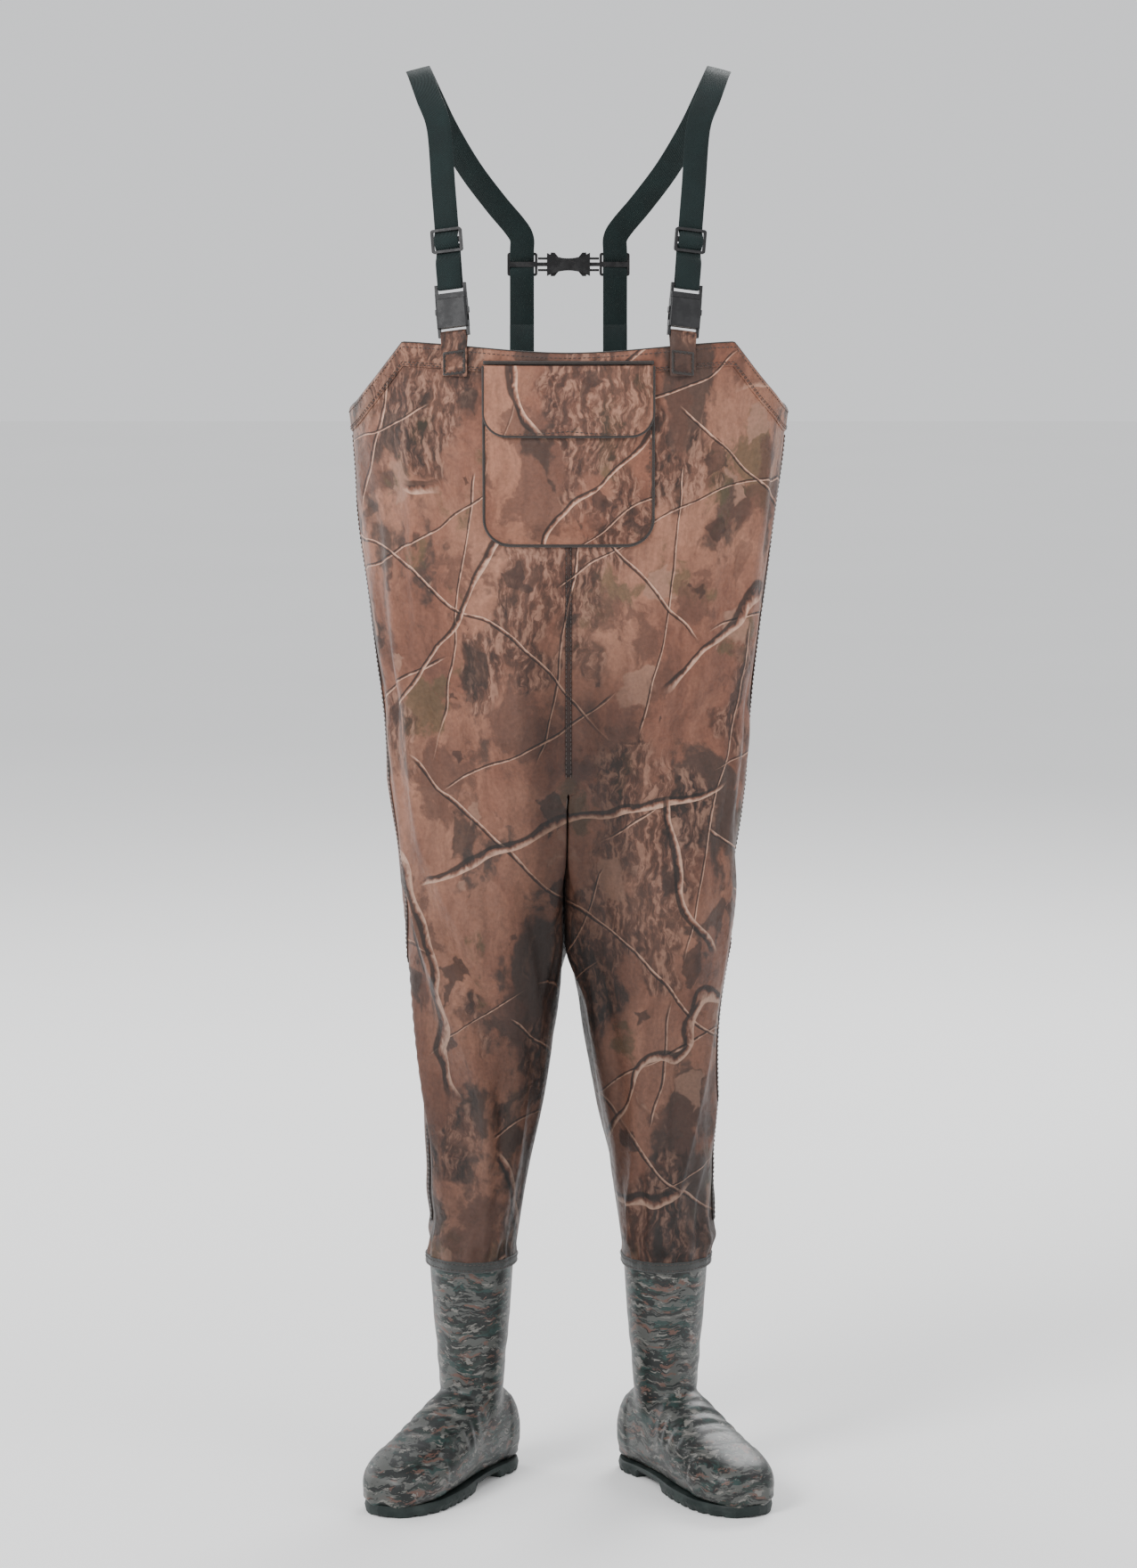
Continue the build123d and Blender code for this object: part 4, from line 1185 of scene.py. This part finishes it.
def strapBasis():
    mount = mountAt["left_plug_bar"]
    along = Vector(mount["axis"]).normalized()
    bar = Vector(mount["pos_m"]) - along * web["plugBar"]
    back = Vector(jointAt["left_outer_arm_press"]["axis"]).normalized()
    return bar, back.cross(along).normalized(), back, along


def smoothLine(points, step=0.004):
    # a soft curve through the points
    line = []
    for k in range(len(points) - 1):
        p0, p1, p2, p3 = points[max(k - 1, 0)], points[k], points[k + 1], points[min(k + 2, len(points) - 1)]
        count = max(2, int((p2 - p1).length / step))
        for n in range(count):
            t = n / count
            line.append(0.5 * (2 * p1 + (p2 - p0) * t + (2 * p0 - 5 * p1 + 4 * p2 - p3) * t * t
                               + (3 * p1 - p0 - 3 * p2 + p3) * t**3))
    line.append(points[-1])
    return line


def arc(radius, start, end, steps=10):
    return [(radius * math.cos(mix(start, end, k / steps)),
             radius * math.sin(mix(start, end, k / steps))) for k in range(steps + 1)]


def mirrored(points):
    return [Vector((-p.x, p.y, p.z)) for p in points]


def bandAlong(name, points, acrossAt, side, halfWidth, thickness, material):
    frames = []
    for k, point in enumerate(points):
        along = (points[min(k + 1, len(points) - 1)] - points[max(k - 1, 0)]).normalized()
        across = acrossAt(k)
        across = (across - along * across.dot(along)).normalized()
        out = across.cross(along)
        frames.append((point, across, out))
    if side < 0:
        frames = [tuple(Vector((-v.x, v.y, v.z)) for v in f) for f in frames]
    piece = strip(name, frames, halfWidth, thickness, material)
    if side < 0:
        piece.data.flip_normals()
    return piece


def makeStraps():
    bar, across, back, along = strapBasis()
    middle = Vector((0, bodyY, 0))

    def local(y, z):
        return bar + back * y + along * z
    ringMount = Vector(mountAt["left_rear_ring_slot"]["pos_m"])
    hubHeight = (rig.box("connector_hub")[0].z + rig.box("connector_hub")[1].z) / 2
    adjust, wrap = web["adjuster"], web["wrap"]
    # doubled webbing: behind the upper rim, over the adjuster's bar, down, round the plug's bar,
    # and up again behind
    loop = [local(0.0031, adjust + 0.0150), local(0.0031, adjust + 0.0115),
            local(-0.0005, adjust + 0.0065), local(-0.0033, adjust + 0.0025),
            local(-0.0033, adjust - 0.0025), local(-0.0005, adjust - 0.0065),
            local(0.0028, adjust - 0.0115), local(0.0012, adjust - 0.017),
            local(-wrap, adjust - 0.026), local(-wrap, web["plugBar"] + 0.004)]
    loop = smoothLine(loop, 0.001)
    loop += [local(y, web["plugBar"] + z) for y, z in arc(wrap, -math.pi, 0)]
    loop += [local(wrap, web["plugBar"] + 0.012), local(wrap + 0.0006, adjust - 0.020),
             local(wrap + 0.0022, adjust - 0.004)]
    front = [local(wrap, adjust + 0.0125), local(wrap, adjust + 0.06), local(wrap, web["straight"])]
    route = [Vector(p) + middle for p in web["route"]]
    over = smoothLine([*front, *route[:3]], 0.006)
    hint = Vector((1, 0, -0.25))

    def frontAcross(k):
        return across.lerp(hint, smooth(0.5, 0.85, k / len(over)))
    strapY = web["back"] + bodyY
    top = Vector((ringMount.x, strapY, hubHeight + 0.030))
    down = [top, Vector((ringMount.x, strapY, hubHeight + 0.014)),
            Vector((ringMount.x, strapY, hubHeight - 0.02)),
            Vector((ringMount.x, strapY, ringMount.z + 0.045)),
            ringMount + Vector((0, web["ringWrap"], 0.012))]
    behind = smoothLine([*route[2:], *down], 0.003)
    behind = [p + Vector((0, web["slider"] * bump(p.z, hubHeight, 0.0052) * (1 if p.y > 0.14 else 0), 0))
              for p in behind]
    behind += [ringMount + Vector((0, y, z)) for y, z in arc(web["ringWrap"], 0, -math.pi, 12)]
    behind += [ringMount + Vector((0, -web["ringWrap"], 0.012)),
               ringMount + Vector((0, -web["ringWrap"] + 0.002, 0.05))]
    for side, name in ((1, "left"), (-1, "right")):
        flip = (lambda p: p) if side > 0 else (lambda p: Vector((-p.x, p.y, p.z)))
        piece = bandAlong(name + "BuckleLoop", loop, lambda k: across, side, web["half"], web["thick"],
                          webbing)
        finishPiece(piece, name + "_plug", "webbing", [name + "_buckle_loop"])
        piece = bandAlong(name + "FrontWebbing", over, frontAcross, side, web["half"], web["thick"], webbing)
        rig.slot(piece, "webbing")
        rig.blend(piece, "root", name + "_plug", flip(over[-1]), flip(over[0] + along * 0.03))
        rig.replaces(piece, name + "_strap")
        piece = bandAlong(name + "BackWebbing", behind,
                          lambda k: hint.lerp(Vector((1, 0, 0)), smooth(0.5, 0.8, k / len(behind))), side,
                          web["half"], web["thick"], webbing)
        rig.slot(piece, "webbing")
        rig.blend(piece, "root", name + "_rear_ring", flip(ringMount + Vector((0, 0, 0.06))),
                 flip(ringMount + Vector((0, 0, 0.006))))


makeStraps()


def makeTabs():
    bar, across, back, along = strapBasis()
    ringJoint = Vector(jointAt["left_ring_swivel"]["pos_m"])
    kinds = {
        "front_tab": (bar, across, -1, 0.00365, 0.034, 0.012),
        "rear_tab": (ringJoint, Vector((1, 0, 0)), 1, 0.00435, 0.034, 0.012),
    }
    for kind, (centre, wide, side, radius, reach, rise) in kinds.items():
        tilt = Vector((wide.z, 0, -wide.x)).normalized() * -1
        out = wide.cross(tilt).normalized()
        if out.y * side < 0:
            out = -out
        low = centre.z - rise - reach
        path = []
        # outside face, up from its lower end
        steps = 16
        for k in range(steps + 1):
            height = mix(low, centre.z - rise - 0.002, k / steps)
            hit, normal = drape(centre.x, height, side)
            path.append(hit + Vector((0, side * 0.0042, 0)))
        path += [centre + out * y + tilt * z for y, z in arc(radius, 0, math.pi, 12)]
        for k in range(steps + 1):
            height = mix(centre.z - rise - 0.002, low, k / steps)
            hit, normal = drape(centre.x, height, side)
            path.append(hit - Vector((0, side * (garment["cloth"] + 0.0040), 0)))
        for sign, name in ((1, "left_"), (-1, "right_")):
            piece = bandAlong(name.strip("_") + ("FrontTab" if side < 0 else "RearTab"), path, lambda k: wide,
                              sign, web["tabHalf"], web["tabThick"], camoHem)
            finishPiece(piece, "root", "camo_fabric", [name + kind])
            # a dark box of close stitching holds the tab to the hem
            box = []
            for u, v in ((-1, 0), (1, 0), (1, 1), (-1, 1), (-1, 0)):
                box.append((u * 0.0118, mix(low + 0.003, low + 0.027, v)))
            rows = []
            for ring in (1.0, 0.86):
                row = []
                for (x0, z0), (x1, z1) in zip(box, box[1:]):
                    for n in range(7):
                        x, z = mix(x0, x1, n / 6) * ring, mix(z0, z1, n / 6)
                        z = mix((low + 0.015), z, ring)
                        hit, normal = drape(centre.x, z, side)
                        spot = Vector((centre.x, hit.y + side * 0.0054, z)) + wide * x
                        row.append((Vector((sign * spot.x, spot.y, spot.z)), Vector((0, side, 0))))
                rows.append(row)
            label = name.strip("_") + ("FrontTabStitching" if side < 0 else "RearTabStitching")
            finishPiece(stitches(label, rows), "root", "seam_tape")
            frameTape = tube(label.replace("Stitching", "Box"), [p + o * 0.0003 for p, o in rows[0]], 0.0011,
                             bindingTape, 6, [o for _, o in rows[0]])
            finishPiece(frameTape, "root", "binding")


makeTabs()
print("straps and tabs made")

plasticNodes = ("socket", "plug", "plug_outer_arm", "plug_inner_arm", "adjuster", "slider",
                "slider_upper_arm", "slider_lower_arm")


def dress(node, material):
    piece = frame["nodes"][node]
    for holder in piece.material_slots:
        holder.material = material


for side in ("left", "right"):
    for part in plasticNodes:
        dress(side + "_" + part, blackPlastic)
    dress(side + "_rear_ring", ringPlastic)
    dress(side + "_insole", felt)
dress("connector_hub", blackPlastic)

# boots
boot = {
    "legX": 0.1125, "toeOut": math.radians(28), "voxel": 0.0034, "rounding": 8, "top": 0.270, "soleTop": 0.015,
    "shaft": [(0.070, 0.035, 0.047, 0.002), (0.115, 0.037, 0.048, 0.0), (0.190, 0.044, 0.056, 0.0),
              (0.270, 0.0495, 0.062, 0.0)],
    "foot": [(0.071, 0.022, 0.062), (0.058, 0.032, 0.092), (0.020, 0.036, 0.112), (-0.040, 0.039, 0.112),
             (-0.100, 0.046, 0.084),
             (-0.155, 0.047, 0.066), (-0.192, 0.036, 0.054), (-0.207, 0.020, 0.042)],
    "sole": [(0.075, 0.006), (0.071, 0.019), (0.062, 0.027), (0.040, 0.035), (0.010, 0.0335),
             (-0.020, 0.034), (-0.055, 0.0385), (-0.090, 0.045), (-0.130, 0.0478), (-0.160, 0.046),
             (-0.190, 0.034), (-0.204, 0.020), (-0.210, 0.006)],
}


def footTurn(point):
    c, s = math.cos(boot["toeOut"]), math.sin(boot["toeOut"])
    return Vector((boot["legX"] + point.x * c - point.y * s, bodyY + point.x * s + point.y * c, point.z))


def closedLoft(rings, points, faces):
    count = len(rings[0])
    start = len(points)
    for ring in rings:
        points += ring
    faces += gridFaces(len(rings), count, True, start)
    faces += [tuple(range(start, start + count))[::-1],
              tuple(range(start + (len(rings) - 1) * count, start + len(rings) * count))]


def makeBoots():
    points, faces, around = [], [], 36
    rings = []
    shaft = boot["shaft"]
    for k in range(22):
        height = mix(shaft[0][0], boot["top"], k / 21)
        width, depth, shift = (rowsAt(shaft, height, c) for c in (1, 2, 3))
        ring = []
        for n in range(around):
            turn = 2 * math.pi * n / around
            ring.append(Vector((boot["legX"] + width * math.cos(turn), bodyY + shift + depth * math.sin(turn),
                                height)))
        rings.append(ring)
    closedLoft(rings, points, faces)
    rings = []
    foot = sorted(boot["foot"])
    for k in range(34):
        place = mix(foot[0][0], foot[-1][0], k / 33)
        width, top = rowsAt(foot, place, 1), rowsAt(foot, place, 2)
        low = 0.0075
        ring = []
        for n in range(around):
            turn = 2 * math.pi * n / around
            c, s = signedPower(math.cos(turn), 2 / 2.6), signedPower(math.sin(turn), 2 / 2.6)
            ring.append(footTurn(Vector((width * c, place, (low + top) / 2 + (top - low) / 2 * s))))
        rings.append(ring)
    closedLoft(rings, points, faces)
    piece = newMesh("leftBootDraft", points, faces, [bootPvc])
    remesh = piece.modifiers.new("skin", "REMESH")
    remesh.mode = "VOXEL"
    remesh.voxel_size = boot["voxel"]
    remesh.use_smooth_shade = True
    soften = piece.modifiers.new("soften", "SMOOTH")
    soften.factor = 0.6
    soften.iterations = boot["rounding"]
    applyModifiers(piece)
    piece.data.materials.clear()
    piece.data.materials.append(bootPvc)
    normals = [v.normal.copy() for v in piece.data.vertices]
    c, s = math.cos(-boot["toeOut"]), math.sin(-boot["toeOut"])
    for vertex, normal in zip(piece.data.vertices, normals):
        x, y = vertex.co.x - boot["legX"], vertex.co.y - bodyY
        footX, footY = x * c - y * s, x * s + y * c
        z = vertex.co.z
        # a raised toe cap and heel counter, a rim at the sole, and soft flex creases at the instep and ankle
        lift = 0.0011 * smooth(-0.138, -0.143, footY) * smooth(0.115, 0.05, z)
        lift += 0.0010 * smooth(0.030, 0.035, footY) * smooth(0.092, 0.088, z)
        lift += 0.0018 * bump(z, 0.019, 0.0035)
        lift += (0.0010 * math.sin(footY * 330 + 2 * noise.noise(Vector((footX * 25, z * 18, 1))))
                 * bump(footY, -0.085, 0.035) * smooth(0.05, 0.075, z))
        lift += 0.0021 * noise.noise(Vector((footX * 14, footY * 14, z * 42))) * bump(z, 0.135, 0.06)
        lift += 0.0012 * bump(z, 0.262, 0.004)
        lift += 0.0012 * bump(footX, 0.0, 0.004) * smooth(0.02, 0.05, footY) * smooth(0.03, 0.06, z)
        vertex.co += normal * lift
    # open the top of the shaft and give it a wall
    shape = bmesh.new()
    shape.from_mesh(piece.data)
    bmesh.ops.delete(shape, geom=[v for v in shape.verts if v.co.z > boot["top"] - 0.004], context="VERTS")
    shape.to_mesh(piece.data)
    shape.free()
    piece.data.polygons.foreach_set("use_smooth", [True] * len(piece.data.polygons))
    thicken(piece, 0.0022, -1.0)
    left = piece.data
    bpy.data.objects.remove(piece)
    right = left.copy()
    right.transform(Matrix.Scale(-1, 4, (1, 0, 0)))
    right.flip_normals()
    for name, mesh in (("left", left), ("right", right)):
        mesh.name = name + "Boot"
        shell = bpy.data.objects.new(name + "Boot", mesh)
        bpy.context.collection.objects.link(shell)
        finishPiece(shell, "root", "boot_pvc", [name + "_boot_shell"])


def makeSoles():
    rows = sorted(boot["sole"])
    count, rings, kinds = 96, [], []
    for k in range(count + 1):
        place = mix(rows[0][0], rows[-1][0], k / count)
        width = rowsAt(rows, place, 1)
        arch = smooth(-0.064, -0.058, place) * smooth(0.010, 0.004, place)
        groove = 0.0022 if (k % 6) in (0, 1) and (place < -0.07 or place > 0.014) else 0.0
        low = max(0.0080 * arch, groove)
        high = boot["soleTop"] - 0.0012
        edge = min(0.0012, width * 0.3)
        ring = [(-width + edge, high), (-width, high - 0.002), (-width - 0.0012, mix(low, high, 0.5)),
                (-width, low + 0.0015), (-width + edge, low),
                (-width * 0.45, low), (0, low + (0.0012 if groove == 0 else 0)), (width * 0.45, low),
                (width - edge, low), (width, low + 0.0015), (width + 0.0012, mix(low, high, 0.5)),
                (width, high - 0.002), (width - edge, high)]
        rings.append([footTurn(Vector((x, place, z))) for x, z in ring])
    for name, side in (("left", 1), ("right", -1)):
        points, faces = [], []
        closedLoft([mirrored(r) if side < 0 else r for r in rings], points, faces)
        piece = newMesh(name + "Sole", points, faces, [solePlastic], None, False)
        shape = bmesh.new()
        shape.from_mesh(piece.data)
        bmesh.ops.recalc_face_normals(shape, faces=shape.faces)
        shape.to_mesh(piece.data)
        shape.free()
        finishPiece(piece, "root", "sole_rubber", [name + "_outsole"])


bootPvc = makeBootPvc()
makeBoots()
makeSoles()


# the leg's lower hem, folded and stitched where it meets the boot
cuff = {"low": 0.2565, "high": 0.2685, "lift": 0.0009}


def makeCuffs():
    for side, name in ((1, "left"), (-1, "right")):
        columns, profile = 150, [(0.0, 0.2), (0.06, 1.0), (0.5, 1.25), (0.94, 1.0), (1.0, 0.2)]
        points = []
        for v, share in profile:
            for k in range(columns):
                turn = 2 * k / columns
                points.append(legSkin(side, turn, mix(cuff["low"], cuff["high"], v), cuff["lift"] * share))
        piece = newMesh(name + "Cuff", points, gridFaces(len(profile), columns, True), [cuffTape])
        if side > 0:
            piece.data.flip_normals()
        thicken(piece, 0.0009, 0.0)
        finishPiece(piece, "root", "cuff_tape", [name + "_boot_cuff"])
        rows = []
        for v in (0.2, 0.8):
            row = []
            for k in range(columns + 1):
                turn = (2 * k / columns) % 2
                height = mix(cuff["low"], cuff["high"], v)
                a, b = (legSkin(side, turn, height, cuff["lift"] * 1.1 + 0.0008),
                        legSkin(side, turn, height, 0.0))
                row.append((a, (a - b).normalized()))
            rows.append(row)
        finishPiece(stitches(name + "CuffStitching", rows), "root", "seam_tape")


makeCuffs()
print("boots made")

# stage, light and camera
studio = {"floor": (0.93, 0.93, 0.925), "distance": 7.0, "height": 1.85, "fill": 0.91}


def makeStage():
    material, tree, shader, where = startMaterial("studioFloor", 0.85)
    soft = noiseAt(tree, where, 1.3, 2.0)
    tone = studio["floor"]
    tree.links.new(ramp(tree, soft, [(0.3, tone), (0.7, tuple(c * 0.98 for c in tone))]),
                   shader.inputs["Base Color"])
    size = 14.0
    corners = [(-size, -size, 0), (size, -size, 0), (size, size, 0), (-size, size, 0)]
    floor = newMesh("studioFloor", corners, [(0, 1, 2, 3)], [material])
    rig.stage(floor)
    world = bpy.data.worlds.new("studioAir")
    world.use_nodes = True
    world.node_tree.nodes["Background"].inputs["Color"].default_value = (0.95, 0.96, 0.98, 1)
    world.node_tree.nodes["Background"].inputs["Strength"].default_value = 1.0
    bpy.context.scene.world = world
    lights = {
        "keyLight": ((-2.6, -3.2, 3.4), 1.8, 175.0), "fillLight": ((3.2, -2.4, 2.0), 2.6, 40.0),
        "rimLight": ((1.2, 3.4, 3.2), 2.0, 120.0), "backFill": ((-3.0, 2.6, 1.8), 2.4, 45.0),
    }
    for name, (place, size, power) in lights.items():
        data = bpy.data.lights.new(name, "AREA")
        data.shape = "DISK"
        data.size = size
        data.energy = power
        lamp = bpy.data.objects.new(name, data)
        bpy.context.collection.objects.link(lamp)
        lamp.location = place
        lamp.rotation_mode = "QUATERNION"
        lamp.rotation_quaternion = (Vector(place) - Vector((0, 0, 0.85))).to_track_quat("Z", "Y")


def makeCamera():
    low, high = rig.bounds()
    aim = Vector((0, 0, (low.z + high.z) / 2))
    data = bpy.data.cameras.new("viewCamera")
    camera = bpy.data.objects.new("viewCamera", data)
    bpy.context.collection.objects.link(camera)
    camera.location = Vector((0, -studio["distance"], studio["height"]))
    camera.rotation_mode = "QUATERNION"
    camera.rotation_quaternion = (camera.location - aim).to_track_quat("Z", "Y")
    reach = (camera.location - aim).length
    data.lens = data.sensor_width * reach / ((high.z - low.z) / studio["fill"])
    bpy.context.scene.camera = camera


makeStage()
makeCamera()
print("stage made")

lookLow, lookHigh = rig.bounds()
with open("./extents.json", "w") as sizeFile:
    json.dump({"cad": [list(cadLow), list(cadHigh)], "visual": [list(lookLow), list(lookHigh)]}, sizeFile)
